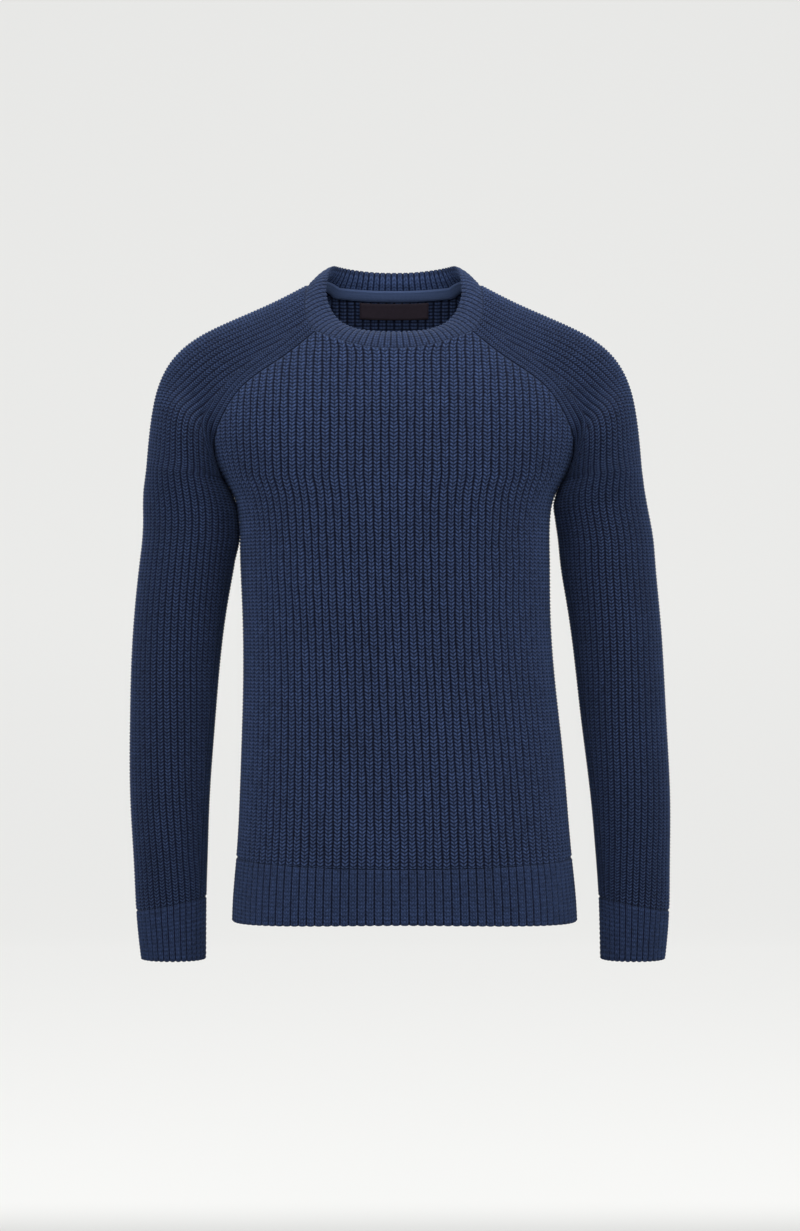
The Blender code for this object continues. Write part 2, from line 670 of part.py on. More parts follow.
def half_panel(face, ribs, depth, side_gap):
    """Give rows of points of half a body panel, from the hem seam to its top edge."""
    low = hem_seam_z(ribs) + SEAM_GAP / 2
    top = panel_top(face, ribs)
    rows = []
    for share in PANEL_SHARES:
        z = low + (top - LABEL_DEPTH - low) * share
        rows.append(half_panel_points(face, ribs, z, depth, side_gap))
    rows.append(half_panel_points(face, ribs, top - TAPE_DEPTH, depth, side_gap))
    edge = panel_top_points(face, ribs, depth)
    edge[-1, 1] += face * side_gap / 2
    rows.append(edge)
    return np.array(rows)


def inner_ribs(neck_ribs):
    """Give the rib numbers of the inner wall's columns."""
    near = np.arange(0, neck_ribs, RIBS_PER_INNER_STEP)
    far = np.linspace(neck_ribs, HALF_PANEL_RIBS, INNER_SIDE_COLUMNS)
    return np.concatenate((near, far))


def make_panel(collection, name, face):
    """Make the front or the back."""
    wall = Wall()
    ribs = np.arange(0, HALF_PANEL_RIBS + 0.25, 0.5)
    outer = both_halves(half_panel(face, ribs, -crest(ribs), SEAM_GAP))
    few = inner_ribs(NECK_RIBS_FRONT if face == FRONT else NECK_RIBS_BACK)
    inner = both_halves(half_panel(face, few, np.full(len(few), WALL), INNER_SEAM_GAP))
    close_sheet(wall, outer, inner, ribs, few)
    make_object(collection, name, wall, body_lean, False, KNIT_BLUE, 0.9)


def make_hem(collection, name, face):
    """Make half of the hem rib."""
    wall = Wall()
    ribs = np.arange(0, HALF_PANEL_RIBS + 0.25, 0.5)
    few = np.arange(0, HALF_PANEL_RIBS - 1, RIBS_PER_INNER_STEP)
    few = np.append(few, HALF_PANEL_RIBS)
    outer = (ribs, -crest(ribs), SEAM_GAP)
    inner = (few, np.full(len(few), WALL), INNER_SEAM_GAP)
    grids = []
    for lines, depth, gap in (outer, inner):
        low, high = hem_edge_z(lines), hem_seam_z(lines) - SEAM_GAP / 2
        rows = [half_panel_points(face, lines, z, depth, gap) for z in (low, high)]
        grids.append(both_halves(np.array(rows)))
    close_sheet(wall, *grids, ribs, few)
    make_object(collection, name, wall, body_lean, False, RIB_BLUE, 0.9)


def rib_end(face, ribs, upper):
    """Give the station where a rib line meets the edge ribs, above or below the underarm."""
    stations, totals = RIB_TABLES[face]
    full = RIB_TABLE_SAMPLES
    if upper:
        return np.interp(ribs + EDGE_RIBS, totals[:full], stations[:full])
    return np.interp(-(ribs + EDGE_RIBS), -totals[full:full + 2], stations[full:full + 2])


def sleeve_points(face, ribs, stations, depth):
    """Give points of the sleeve at a depth below the crests, clear of its seams."""
    ribs, stations, depth = np.broadcast_arrays(ribs, stations, depth)
    ribs, stations, depth = (np.array(values, float) for values in (ribs, stations, depth))
    at_edge = ribs >= np.interp(stations, *RIB_TABLES[face]) - 0.001
    normals = sleeve_normal(face, ribs, stations)
    tube_edge = at_edge & (stations > 1)
    normals[tube_edge] = unit(normals[tube_edge] * np.array((1.0, 0.0, 1.0)))
    points = sleeve_form(face, ribs, stations) - normals * depth[..., None]
    hole_edge = at_edge & (stations <= 1)
    around = stations if face == FRONT else 2 - stations
    beside_hole = seam_side(hole_seam, around, 1, depth)
    at_neck = stations <= 0
    corner, step = (0, 1) if face == FRONT else (4, -1)
    side_share = neck_share[NECK_CORNERS[2]]
    corner_share = neck_share[NECK_CORNERS[corner + step]]
    along = side_share + (corner_share - side_share) * ribs / np.interp(0, *RIB_TABLES[face])
    beside_neck = seam_side(neck_seam, along, -1, depth)
    base, lift, _ = neck_seam.at(along)
    both = beside_hole + beside_neck - base + lift * depth[..., None]
    points = np.where(at_neck[..., None], beside_neck, points)
    points = np.where(hole_edge[..., None], beside_hole, points)
    return np.where((hole_edge & at_neck)[..., None], both, points)


def edge_depth(step):
    """Give the depth of the edge ribs' lines, counted in half ribs from the inside."""
    return np.where(step % 2 == 1, 0.0, RIB_HEIGHT)


def rib_line_rows(face, ribs):
    """Give the stations of each long rib line's points, from its top to its lower end."""
    cuff = 2 - SEAM_GAP / 2 / (SLEEVE[0][0] - CUFF_SEAM_Z)
    neck_ribs = np.interp(0, *RIB_TABLES[face]) - EDGE_RIBS
    lines = []
    for rib in ribs:
        top = 0.0 if rib <= neck_ribs + 0.001 else float(rib_end(face, rib, True))
        low = min(float(rib_end(face, rib, False)), cuff)
        between = [at for at in SLEEVE_STATIONS if top + ROW_MARGIN < at < low - ROW_MARGIN]
        lines.append([top] + between + [low])
    return lines


def sleeve_half(wall, face):
    """Fill half of a sleeve's outer side, and give its line of points along each end."""
    ribs = np.arange(0, HALF_SLEEVE_RIBS - EDGE_RIBS + 0.25, 0.5)
    rows = rib_line_rows(face, ribs)
    lines = [sleeve_points(face, rib, np.array(at), -crest(rib)) for rib, at in zip(ribs, rows)]
    for i in range(len(ribs) - 1):
        wall.strip(lines[i], lines[i + 1], rows[i], rows[i + 1])
    neck_lines = sum(at[0] == 0 for at in rows)
    cuff_lines = sum(at[-1] == rows[0][-1] for at in rows)
    ends = [(ribs[i], rows[i][0]) for i in range(neck_lines - 1, len(ribs))]
    ends += [(ribs[-1], at) for at in rows[-1][1:-1]]
    ends += [(ribs[i], rows[i][-1]) for i in range(len(ribs) - 1, cuff_lines - 2, -1)]
    start, station = np.array(ends).T
    steps = np.arange(0, 2 * EDGE_RIBS + 1)
    depth = np.where(steps == 0, -crest(start)[:, None], edge_depth(steps))
    edge = sleeve_points(face, start[:, None] + steps / 2, station[:, None], depth)
    wall.grid(edge)
    neck_row = np.array([line[0] for line in lines[:neck_lines]])
    cuff_row = np.array([line[-1] for line in lines[:cuff_lines]])
    cap_rows = int(np.sum(station <= 1.0))
    neck_at = np.concatenate((ribs[:neck_lines], start[0] + steps[1:] / 2))
    cuff_at = np.concatenate((ribs[:cuff_lines], start[-1] + steps[1:] / 2))
    top_at = np.concatenate((neck_at / neck_at[-1] - 1, station[1:cap_rows]))
    top = np.vstack((neck_row, edge[0, 1:], edge[1:cap_rows, -1]))
    return (top, top_at), (np.vstack((cuff_row, edge[-1, 1:])), cuff_at / cuff_at[-1])


def make_sleeve(collection, name, mirror):
    """Make a sleeve: long rib lines, and edge ribs that run along the seams beside them."""
    wall = Wall()
    cuff = 2 - SEAM_GAP / 2 / (SLEEVE[0][0] - CUFF_SEAM_Z)
    cap_levels = np.array((0.0,) + CAP_INNER_STATIONS + (1.0,))
    tube_levels = np.array((1.0,) + TUBE_INNER_STATIONS + (cuff,))
    shares = np.linspace(0, 1, INNER_SLEEVE_STEPS + 1)
    for face in (FRONT, BACK):
        outer_top, outer_low = sleeve_half(wall, face)
        grids = []
        for levels in (cap_levels, tube_levels):
            total = np.interp(levels, *RIB_TABLES[face])
            depth = np.full((len(levels), len(shares)), WALL)
            grids.append(sleeve_points(face, total[:, None] * shares, levels[:, None], depth))
            wall.grid(grids[-1])
        inner_top = np.vstack((grids[0][0], grids[0][1:, -1]))
        wall.strip(outer_top[0], inner_top, outer_top[1], np.concatenate((shares - 1, cap_levels[1:])))
        wall.strip(outer_low[0], grids[1][-1], outer_low[1], shares)
    make_object(collection, name, wall, sleeve_lean, mirror, KNIT_BLUE, 0.9)


def make_cuff(collection, name, mirror):
    """Make a cuff rib."""
    wall = Wall()
    high = 2 + SEAM_GAP / 2 / (CUFF_SEAM_Z - CUFF_EDGE_Z)
    for face in (FRONT, BACK):
        ribs = np.arange(0, HALF_CUFF_RIBS + 0.25, 0.5)
        few = np.linspace(0, HALF_CUFF_RIBS, INNER_CUFF_COLUMNS)
        rows = np.array((3.0, high))[:, None]
        outer = sleeve_points(face, ribs, rows, -crest(ribs))
        inner = sleeve_points(face, few, rows, np.full(len(few), WALL))
        wall.grid(outer)
        wall.grid(inner)
        for row in (0, 1):
            wall.strip(outer[row], inner[row], ribs, few)
    make_object(collection, name, wall, sleeve_lean, mirror, RIB_BLUE, 0.9)


def make_collar(collection):
    """Make the folded collar, ribbed on both faces."""
    wall = Wall()
    columns = np.linspace(0, 1, COLLAR_RIBS + 1)
    seam = neck_seam.at(columns)
    edge = np.stack([np.interp(columns, neck_share, collar_edge_points[:, k]) for k in range(3)], -1)
    up = edge - seam[0]
    outward = unit(np.cross(np.gradient(seam[0], axis=0), up))
    outward[[0, -1], 0] = 0
    outward = unit(outward)
    groove = np.where(np.arange(COLLAR_RIBS + 1) % 2 == 0, 0.0, COLLAR_RIB_HEIGHT)[:, None]
    rows = [seam_side(neck_seam, columns, 1, groove[:, 0]),
            seam[0] + 0.55 * up + outward * (COLLAR_BULGE - groove),
            edge - unit(up) * groove - outward * COLLAR_THICKNESS / 3,
            seam[0] + 0.6 * up - outward * (COLLAR_THICKNESS - groove),
            seam_side(neck_seam, columns, 1, COLLAR_THICKNESS - groove[:, 0])]
    half = np.array(rows + rows[:1])
    wall.grid(half)
    wall.grid(half * np.array((-1.0, 1.0, 1.0)))
    make_object(collection, "collar", wall, None, False, RIB_BLUE, 0.9)


def tape_edges(depth, back_ribs, sleeve_ribs):
    """Give the tape's upper and lower edge lines at a depth, from centre back to its end.

    It crosses the back and runs on over the top of the sleeve.
    """
    depths = np.full(len(back_ribs), depth)
    back_top = panel_top_points(BACK, back_ribs, depths)
    back_low = half_panel_points(BACK, back_ribs, panel_top(BACK, back_ribs) - TAPE_DEPTH, depths, 0)
    corner = neck_share[NECK_CORNERS[3]]
    corner_top = seam_side(neck_seam, np.array([corner]), -1, np.array([depth]))
    place, normal, _ = hole_seam.at(np.array([2 - TAPE_STATION]))
    corner_low = place - normal * depth
    depths = np.full(len(sleeve_ribs), depth)
    ribs_below = sleeve_ribs * np.interp(TAPE_STATION, *RIB_TABLES[BACK]) / CAP_RIBS_BACK
    sleeve_top = sleeve_points(BACK, sleeve_ribs, 0.0, depths)
    sleeve_low = sleeve_points(BACK, ribs_below, TAPE_STATION, depths)
    top = np.vstack((back_top, corner_top, sleeve_top))
    return top, np.vstack((back_low, corner_low, sleeve_low))


def make_tape(collection):
    """Make the tape that lies on the inner walls along the back neck seam."""
    wall = Wall()
    back_ribs = np.arange(0, NECK_RIBS_BACK, RIBS_PER_INNER_STEP)
    shares = np.arange(1, INNER_SLEEVE_STEPS) / INNER_SLEEVE_STEPS * CAP_RIBS_BACK
    sleeve_ribs = shares[shares >= TAPE_END_RIBS - 0.01][::-1]
    columns = np.arange(len(back_ribs) + 1 + len(sleeve_ribs))
    sheets = []
    for depth in (WALL + SEAM_GAP, WALL + SEAM_GAP + TRIM_THICKNESS):
        top, low = tape_edges(depth, back_ribs, sleeve_ribs)
        offsets = (TRIM_EDGE_GAP / TAPE_DEPTH, 1 - SEAM_GAP / TAPE_DEPTH)
        sheets.append(both_halves(np.array([top + (low - top) * offset for offset in offsets])))
    close_sheet(wall, *sheets, columns, columns)
    make_object(collection, "neck_tape", wall, None, False, TAPE_BLUE, 0.85)


def make_label(collection):
    """Make the blank label that lies on the back's inner wall below the tape."""
    wall = Wall()
    ribs = np.arange(0, LABEL_HALF_RIBS + 0.1, RIBS_PER_INNER_STEP)
    sheets = []
    for depth in (WALL + SEAM_GAP, WALL + SEAM_GAP + TRIM_THICKNESS):
        depths = np.full(len(ribs), depth)
        upper = half_panel_points(BACK, ribs, panel_top(BACK, ribs) - TAPE_DEPTH, depths, 0)
        lower = half_panel_points(BACK, ribs, panel_top(BACK, ribs) - LABEL_DEPTH, depths, 0)
        gap = SEAM_GAP / (LABEL_DEPTH - TAPE_DEPTH)
        sheets.append(both_halves(np.array([upper + (lower - upper) * share for share in (gap, 1 - gap)])))
    close_sheet(wall, *sheets, ribs, ribs)
    make_object(collection, "label", wall, None, False, LABEL_BROWN, 0.85)


def main():
    """Clear the scene and make every piece."""
    for old in list(bpy.data.objects):
        bpy.data.objects.remove(old, do_unlink=True)
    collection = bpy.data.collections.new(COLLECTION_NAME)
    bpy.context.scene.collection.children.link(collection)
    make_panel(collection, "front", FRONT)
    make_panel(collection, "back", BACK)
    make_hem(collection, "hem_rib_front", FRONT)
    make_hem(collection, "hem_rib_back", BACK)
    for name, mirror in (("left", False), ("right", True)):
        make_sleeve(collection, "sleeve_" + name, mirror)
        make_cuff(collection, "cuff_" + name, mirror)
    make_collar(collection)
    make_tape(collection)
    make_label(collection)


main()
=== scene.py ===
"""Looks of a hollow rib knit sweater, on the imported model's own form. Metres, +Z up.

The front faces -Y and the wearer's left is +X. Each cloth piece is a thin wall whose outer
and inner faces follow the garment's form. Geometry Nodes raise the ribs and the stitches
on that wall from two numbers kept at each point, the rib number and the course number.
"""

import bmesh
import bpy
import numpy as np
from bpy.props import FloatProperty, FloatVectorProperty
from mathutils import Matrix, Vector


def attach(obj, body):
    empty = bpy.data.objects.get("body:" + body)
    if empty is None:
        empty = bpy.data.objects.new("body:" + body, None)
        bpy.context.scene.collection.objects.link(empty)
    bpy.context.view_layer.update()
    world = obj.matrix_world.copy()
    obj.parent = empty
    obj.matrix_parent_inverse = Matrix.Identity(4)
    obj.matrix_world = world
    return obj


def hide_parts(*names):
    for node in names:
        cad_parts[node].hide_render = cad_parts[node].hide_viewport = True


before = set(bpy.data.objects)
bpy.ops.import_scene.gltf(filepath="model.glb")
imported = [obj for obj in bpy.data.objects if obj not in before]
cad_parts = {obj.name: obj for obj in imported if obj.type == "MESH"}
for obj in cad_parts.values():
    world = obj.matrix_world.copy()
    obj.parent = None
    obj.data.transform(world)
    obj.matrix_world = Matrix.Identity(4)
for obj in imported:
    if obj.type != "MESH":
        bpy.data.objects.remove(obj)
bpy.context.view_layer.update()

bl_info = {
    "name": "Rib knit sweater",
    "version": (1, 0, 0),
    "blender": (4, 5, 0),
    "location": "View3D > Sidebar > Sweater",
    "description": "Makes a hollow rib knit sweater with its yarn, seams and studio",
    "category": "Object",
}

# Cloth
WALL = 0.0040
SEAM_GAP = 0.0003
ARMHOLE_GAP = 0.0006
INNER_SEAM_GAP = 0.0014
SECTION_EXPONENT = 2.6

# Numbers of ribs. A crest lies on each whole rib number and a valley half way between.
HALF_PANEL_RIBS = 28.5
NECK_RIBS_FRONT = 9.5
NECK_RIBS_BACK = 7.5
HALF_SLEEVE_RIBS = 23.5
HALF_CUFF_RIBS = 17.5
CAP_RIBS_FRONT = 12.5
CAP_RIBS_BACK = 10.5
EDGE_RIBS = 3
COLLAR_RIBS = 96

# Heights of the seams and edges
UNDERARM_Z = -0.190
HEM_SEAM_Z = -0.5907
HEM_SEAM_RISE_AT_SIDES = 0.0047
HEM_EDGE_Z = -0.6475
HEM_EDGE_DROP_AT_SIDES = 0.0050

# Body form, the half width and depth of each level section.
# Columns: z, front width, back width, front depth, back depth
BODY = (
    (0.020, 0.0500, 0.1180, 0.0460, 0.0700),
    (-0.008, 0.0850, 0.1390, 0.0680, 0.0845),
    (-0.036, 0.1160, 0.1550, 0.0838, 0.0945),
    (-0.060, 0.1450, 0.1670, 0.0962, 0.1015),
    (-0.085, 0.1720, 0.1780, 0.1058, 0.1070),
    (-0.112, 0.1895, 0.1885, 0.1135, 0.1110),
    (-0.140, 0.1950, 0.1950, 0.1180, 0.1135),
    (-0.165, 0.1900, 0.1900, 0.1205, 0.1145),
    (-0.190, 0.1780, 0.1780, 0.1215, 0.1145),
    (-0.205, 0.1695, 0.1695, 0.1215, 0.1140),
    (-0.231, 0.1635, 0.1635, 0.1205, 0.1125),
    (-0.274, 0.1625, 0.1625, 0.1185, 0.1095),
    (-0.316, 0.1618, 0.1618, 0.1165, 0.1065),
    (-0.369, 0.1623, 0.1623, 0.1145, 0.1040),
    (-0.422, 0.1650, 0.1650, 0.1145, 0.1045),
    (-0.474, 0.1686, 0.1686, 0.1160, 0.1075),
    (-0.527, 0.1718, 0.1718, 0.1180, 0.1110),
    (-0.580, 0.1755, 0.1755, 0.1200, 0.1145),
    (-0.632, 0.1802, 0.1802, 0.1215, 0.1170),
    (-0.665, 0.1815, 0.1815, 0.1215, 0.1170),
)

# Armhole chart, from the front of the neck under the arm to the back of the neck. Ribs
# are counted from the centre front, so that 57 is the centre back.
# Columns: ribs, z
ARMHOLE = (
    (9.5, -0.0386),
    (13.8, -0.0668),
    (16.8, -0.0822),
    (19.1, -0.0960),
    (20.7, -0.1100),
    (21.9, -0.1235),
    (23.3, -0.1390),
    (25.6, -0.1670),
    (28.5, -0.1900),
    (31.4, -0.1670),
    (33.7, -0.1390),
    (36.3, -0.1080),
    (40.0, -0.0660),
    (44.5, -0.0240),
    (49.5, 0.0140),
)

# Neck seam chart on the body, from its centre line to the armhole.
# Columns: ribs, z
NECK_SEAM_FRONT = ((-4.5, -0.0535), (0.0, -0.0580), (4.5, -0.0535), (9.5, -0.0386))
NECK_SEAM_BACK = ((-4.0, 0.0114), (0.0, 0.0105), (4.0, 0.0114), (7.5, 0.0140))

# Shoulder line, along the top of the sleeve cap, from the neck to the underarm's height.
# Columns: x, z
SHOULDER = (
    (0.0906, 0.0158),
    (0.1254, -0.0021),
    (0.1823, -0.0274),
    (0.2129, -0.0443),
    (0.2330, -0.0632),
    (0.2450, -0.0843),
    (0.2535, -0.1150),
    (0.2605, -0.1780),
)

# Sleeve cap form, from the neck at station 0 to the underarm at station 1: how far the
# cloth runs on straight from the seam and from the shoulder line before it bends, and the
# share of the fold between sleeve and body.
# Columns: station, seam pull, shoulder pull, fold
CAP = (
    (0.00, 0.0340, 0.0340, 0.00),
    (0.25, 0.0360, 0.0360, 0.00),
    (0.50, 0.0450, 0.0460, 0.06),
    (0.65, 0.0500, 0.0540, 0.28),
    (0.75, 0.0510, 0.0600, 0.50),
    (0.85, 0.0580, 0.0680, 0.75),
    (0.95, 0.0790, 0.0810, 0.96),
    (1.00, 0.0893, 0.0893, 1.00),
)

# Sleeve tube form. The rise is how much higher the outer line lies than the inner one.
# Columns: z, inner x, outer x, half depth, rise, y
SLEEVE = (
    (-0.184, 0.1785, 0.2605, 0.0670, 0.012, 0.000),
    (-0.204, 0.1706, 0.2634, 0.0635, 0.008, 0.000),
    (-0.217, 0.1676, 0.2650, 0.0615, 0.006, 0.000),
    (-0.231, 0.1674, 0.2663, 0.0605, 0.005, 0.000),
    (-0.252, 0.1690, 0.2686, 0.0600, 0.002, -0.001),
    (-0.274, 0.1713, 0.2709, 0.0600, 0.000, -0.001),
    (-0.316, 0.1782, 0.2750, 0.0585, 0.000, -0.002),
    (-0.358, 0.1842, 0.2782, 0.0565, 0.000, -0.004),
    (-0.443, 0.1927, 0.2815, 0.0525, 0.000, -0.008),
    (-0.527, 0.2005, 0.2829, 0.0475, -0.003, -0.012),
    (-0.590, 0.2040, 0.2806, 0.0430, -0.008, -0.015),
    (-0.634, 0.2058, 0.2790, 0.0385, -0.014, -0.017),
    (-0.660, 0.2063, 0.2772, 0.0355, -0.010, -0.018),
    (-0.692, 0.2068, 0.2742, 0.0345, 0.000, -0.018),
)
CUFF_SEAM_Z = -0.634
CUFF_EDGE_Z = -0.692
FULL_WIDTH_Z = -0.262

# Collar's folded edge, by the neck seam's corners: 0 is the centre front, 1 and 3 are the
# armhole seams, 2 is the shoulder line and 4 the centre back.
# Columns: corner, x, y, z
COLLAR_EDGE = (
    (0.0, 0.0000, -0.0760, -0.0388),
    (1.0, 0.0578, -0.0535, -0.0235),
    (1.5, 0.0700, -0.0310, 0.0040),
    (2.0, 0.0688, -0.0010, 0.0312),
    (3.0, 0.0500, 0.0500, 0.0396),
    (4.0, 0.0000, 0.0630, 0.0365),
)
COLLAR_THICKNESS = 0.0055

COLLAR_EDGE_FADE = 0.07

# Collar's section, between its outer and inner edges at the seam: the place round the
# section, the share of its rise, and how far the cloth stands out from the straight line.
# Columns: place, rise, out
COLLAR_SECTION = (
    (0.16, 0.30, 0.0015),
    (0.35, 0.70, 0.0015),
    (0.50, 1.00, -COLLAR_THICKNESS / 3),
    (0.65, 0.72, -COLLAR_THICKNESS),
    (0.84, 0.35, -COLLAR_THICKNESS),
)

# The filled-out garment hangs a little towards the wearer's left as it goes down.
# Columns: z, shift of x
BODY_LEAN = (
    (-0.665, 0.0112),
    (-0.580, 0.0105),
    (-0.474, 0.0083),
    (-0.370, 0.0040),
    (-0.280, 0.0012),
    (-0.200, 0.0),
)
SLEEVE_LEAN = (
    (-0.700, 0.0096),
    (-0.630, 0.0090),
    (-0.527, 0.0066),
    (-0.420, 0.0040),
    (-0.330, 0.0033),
    (-0.274, 0.0037),
    (-0.253, 0.0040),
    (-0.231, 0.0026),
    (-0.215, 0.0010),
    (-0.200, 0.0),
)
# The sleeves' inner sides are pressed against the body below the underarm.
# Columns: z, reach towards the body
LEFT_REACH = ((-0.228, 0.0), (-0.214, 0.0014), (-0.197, 0.0014), (-0.185, 0.0))
RIGHT_REACH = ((-0.274, 0.0), (-0.252, 0.0024), (-0.232, 0.0016), (-0.197, 0.0014), (-0.185, 0.0))

# Neck tape and label, on the back's inner wall
TAPE_DEPTH = 0.0090
LABEL_DEPTH = 0.0250
TAPE_END_RIBS = 3.0
TAPE_STATION = 0.036
LABEL_HALF_RIBS = 4.4
TRIM_THICKNESS = 0.0010
TAPE_ON_COLLAR = 0.33
TAPE_ON_WALL = 0.3
TAPE_SEAM_PLACE = 0.68
TAPE_ROWS = 9
TAPE_COURSES = 3.0
TAPE_STEP = 0.25
LABEL_ROWS = 9
LABEL_SUBCOLUMNS = 4
LABEL_COURSE = 0.0034
LABEL_START = 0.0048
LABEL_END = 0.0220

# Knitting: the heights of one course, and how far a stitch's arms rise in courses
BODY_COURSE = 0.00368
SLEEVE_COURSE = 0.00352
HEM_COURSE = 0.00387
CUFF_COURSE = 0.00370
COLLAR_COURSES = 15
ARM_RISE = 0.85
BODY_SUBCOLUMNS = 4
WALE_SUBCOLUMNS = 6
EDGE_FADE = 0.0026
CAST_OFF_RELIEF = 0.35
WANDER = 0.055
# Waves of the ribs' wandering. Columns: share, turn by metre, turn by rib, start
WANDER_WAVES = (
    (0.6, 41, 1.7, 0.0),
    (0.6, 67, -2.3, 1.0),
    (0.4, 173, 4.1, 0.0),
    (0.4, 251, -5.3, 2.0),
)
WANDER_FADE = 0.012
# Ribs over which the long ribs fade beside the seam band, and the form is drawn to its seam
BAND_FADE_RIBS = 0.45
SEAM_PULL_RIBS = 1.5
CAP_FADE_RIBS = 30
SEAM_DEPTH = 0.0026
# How much the linking yarn's colour lifts the painted groove shade
DEEP_LIFT = 2.5
LINK_SPACING = 0.0024
LINK_RADIUS = 0.0010
LINK_LEAN = (0.5, 0.0, 0.0)
LINK_SHAPE = (1.0, 0.8, 1.7)
LINK_CORE = 0.8
SCALLOP = 0.0009
SCALLOP_START = 0.2
INNER_ROW_STEP = 0.0080
INNER_EDGE_STEP = 3.0

# Samples along the lines that the form is worked out from
SECTION_SAMPLES = 65
HALF_SLEEVE_SAMPLES = 49
HOLE_SAMPLES = 161
CAP_SAMPLES = 61
CUFF_SAMPLES = 13
NECK_SAMPLES = 24
RIB_TABLE_SAMPLES = 31
CAP_GROWTH = 0.7
SMALL_RIBS = 0.05
SMALL_HEIGHT = 0.0005
SMALL_STATION = 0.004
RIB_PITCH = 0.0085
SLEEVE_RIB_PITCH = 0.0068
NECK_BLEND = 0.08
WELD_DISTANCE = 0.00002

# Grids that the forms are read from. The body's rows run from a height to a height, and
# the sleeve's are counted along its cap, its tube and its cuff.
BODY_GRID_ROWS = (-0.660, 0.022, 342)
BODY_GRID_COLUMNS = 115
SLEEVE_GRID_ROWS = (141, 181, 31)
SLEEVE_GRID_COLUMNS = 97
NECK_LINE_SAMPLES = 121
HOLE_LINE_SAMPLES = 201
SIDE_LINE_SAMPLES = 120
HEM_LINE_SAMPLES = 229
CUFF_LINE_SAMPLES = 71
INNER_CAP_ROWS = 40
INNER_TUBE_ROWS = 60
INNER_SLEEVE_COLUMNS = 48

# Creases: soft lines that move the cloth in or out, in the garment's own metres.
# Columns: start x, y, z, end x, y, z, width, depth
FRONT_FOLDS = (
    (-0.168, -0.060, -0.215, -0.060, -0.118, -0.300, 0.016, -0.0020),
    (-0.165, -0.050, -0.240, -0.080, -0.112, -0.370, 0.018, -0.0016),
    (0.170, -0.055, -0.215, 0.070, -0.118, -0.285, 0.015, -0.0022),
    (0.166, -0.050, -0.250, 0.085, -0.110, -0.360, 0.018, -0.0014),
    (-0.090, -0.110, -0.500, -0.060, -0.117, -0.590, 0.022, 0.0018),
    (0.060, -0.112, -0.470, 0.080, -0.112, -0.590, 0.024, 0.0016),
    (-0.020, -0.116, -0.520, -0.015, -0.118, -0.590, 0.020, -0.0012),
    (0.000, -0.118, -0.110, 0.000, -0.120, -0.200, 0.040, -0.0012),
)
BACK_FOLDS = (
    (-0.160, 0.055, -0.215, -0.050, 0.110, -0.330, 0.017, -0.0022),
    (0.160, 0.055, -0.210, 0.060, 0.110, -0.310, 0.016, -0.0020),
    (-0.150, 0.060, -0.300, -0.030, 0.105, -0.400, 0.022, -0.0020),
    (0.150, 0.060, -0.310, 0.030, 0.105, -0.420, 0.022, -0.0018),
    (-0.070, 0.106, -0.480, -0.050, 0.112, -0.590, 0.024, 0.0018),
    (0.075, 0.106, -0.460, 0.060, 0.112, -0.590, 0.022, 0.0016),
)
LEFT_SLEEVE_FOLDS = (
    (0.180, -0.060, -0.190, 0.235, -0.050, -0.150, 0.012, -0.0010),
    (0.185, -0.055, -0.240, 0.250, -0.045, -0.200, 0.014, -0.0010),
    (0.200, -0.050, -0.400, 0.262, -0.040, -0.375, 0.016, -0.0016),
    (0.205, -0.055, -0.560, 0.268, -0.045, -0.590, 0.014, -0.0014),
    (0.190, 0.055, -0.330, 0.255, 0.045, -0.300, 0.016, -0.0018),
)
RIGHT_SLEEVE_FOLDS = (
    (-0.180, -0.060, -0.190, -0.235, -0.050, -0.155, 0.012, -0.0010),
    (-0.185, -0.055, -0.250, -0.248, -0.045, -0.215, 0.014, -0.0011),
    (-0.195, -0.050, -0.390, -0.255, -0.040, -0.360, 0.016, -0.0015),
    (-0.198, -0.055, -0.570, -0.258, -0.045, -0.595, 0.014, -0.0015),
    (-0.190, 0.055, -0.340, -0.255, 0.045, -0.310, 0.016, -0.0016),
)

# The camera looks along +Y, level, and its frame is this high at the garment's middle.
CAMERA_X = 0.0063
CAMERA_Z = -0.3325
CAMERA_DISTANCE = 3.2
FRAME_HEIGHT = 1.2975
SENSOR = 36.0

# Soft lights, each aimed at the garment's middle. Columns: name, energy, size, place
LIGHTS = (
    ("Front", 52.0, 2.0, (0.0, -2.9, 0.6)),
    ("Left_side", 50.0, 1.8, (-2.3, -1.3, 0.9)),
    ("Right_side", 57.0, 1.8, (2.3, -1.3, 0.9)),
    ("Top", 36.0, 1.6, (0.0, -0.5, 1.6)),
    ("Behind", 30.0, 1.6, (0.0, 2.0, 2.2)),
)
AIM = (0.0, 0.0, -0.25)

# Yarn shading: how far the strands waver, in ribs and courses, and how dark the painted
# shade is on the line between two strands and in the valley between two ribs
FUZZ_SCALE = 2200.0
STRAND_WAVER = 0.12
LINE_SHADE = 0.65
VALLEY_SHADE = 0.95
VALLEY_END = 0.47
AMBIENT = 0.12

# The paper sweep: a floor that bends up into a wall behind the garment. Only the part
# behind the garment glows, and it is seen as an even pale ground.
PAPER_GLOW = 0.70
PAPER_FRONT_Y = -6.0
PAPER_WALL_Y = 4.6
PAPER_TOP_Z = 5.0
PAPER_HALF_WIDTH = 6.0
PAPER_BEND = 0.8
FLOOR_Z = -1.10
FRONT = -1.0
BACK = 1.0
UNDERARM = HOLE_SAMPLES // 2


def unit(vectors):
    """Give vectors of length one."""
    return vectors / np.maximum(np.linalg.norm(vectors, axis=-1, keepdims=True), 1e-12)


def run_along(points):
    """Give the length run at each point of a line."""
    return np.concatenate(([0], np.cumsum(np.linalg.norm(np.diff(points, axis=0), axis=1))))


def between_steps(wanted, steps, rows):
    """Give rows of numbers, read at wanted places between steps."""
    return np.stack([np.interp(wanted, steps, column) for column in rows.T], -1)


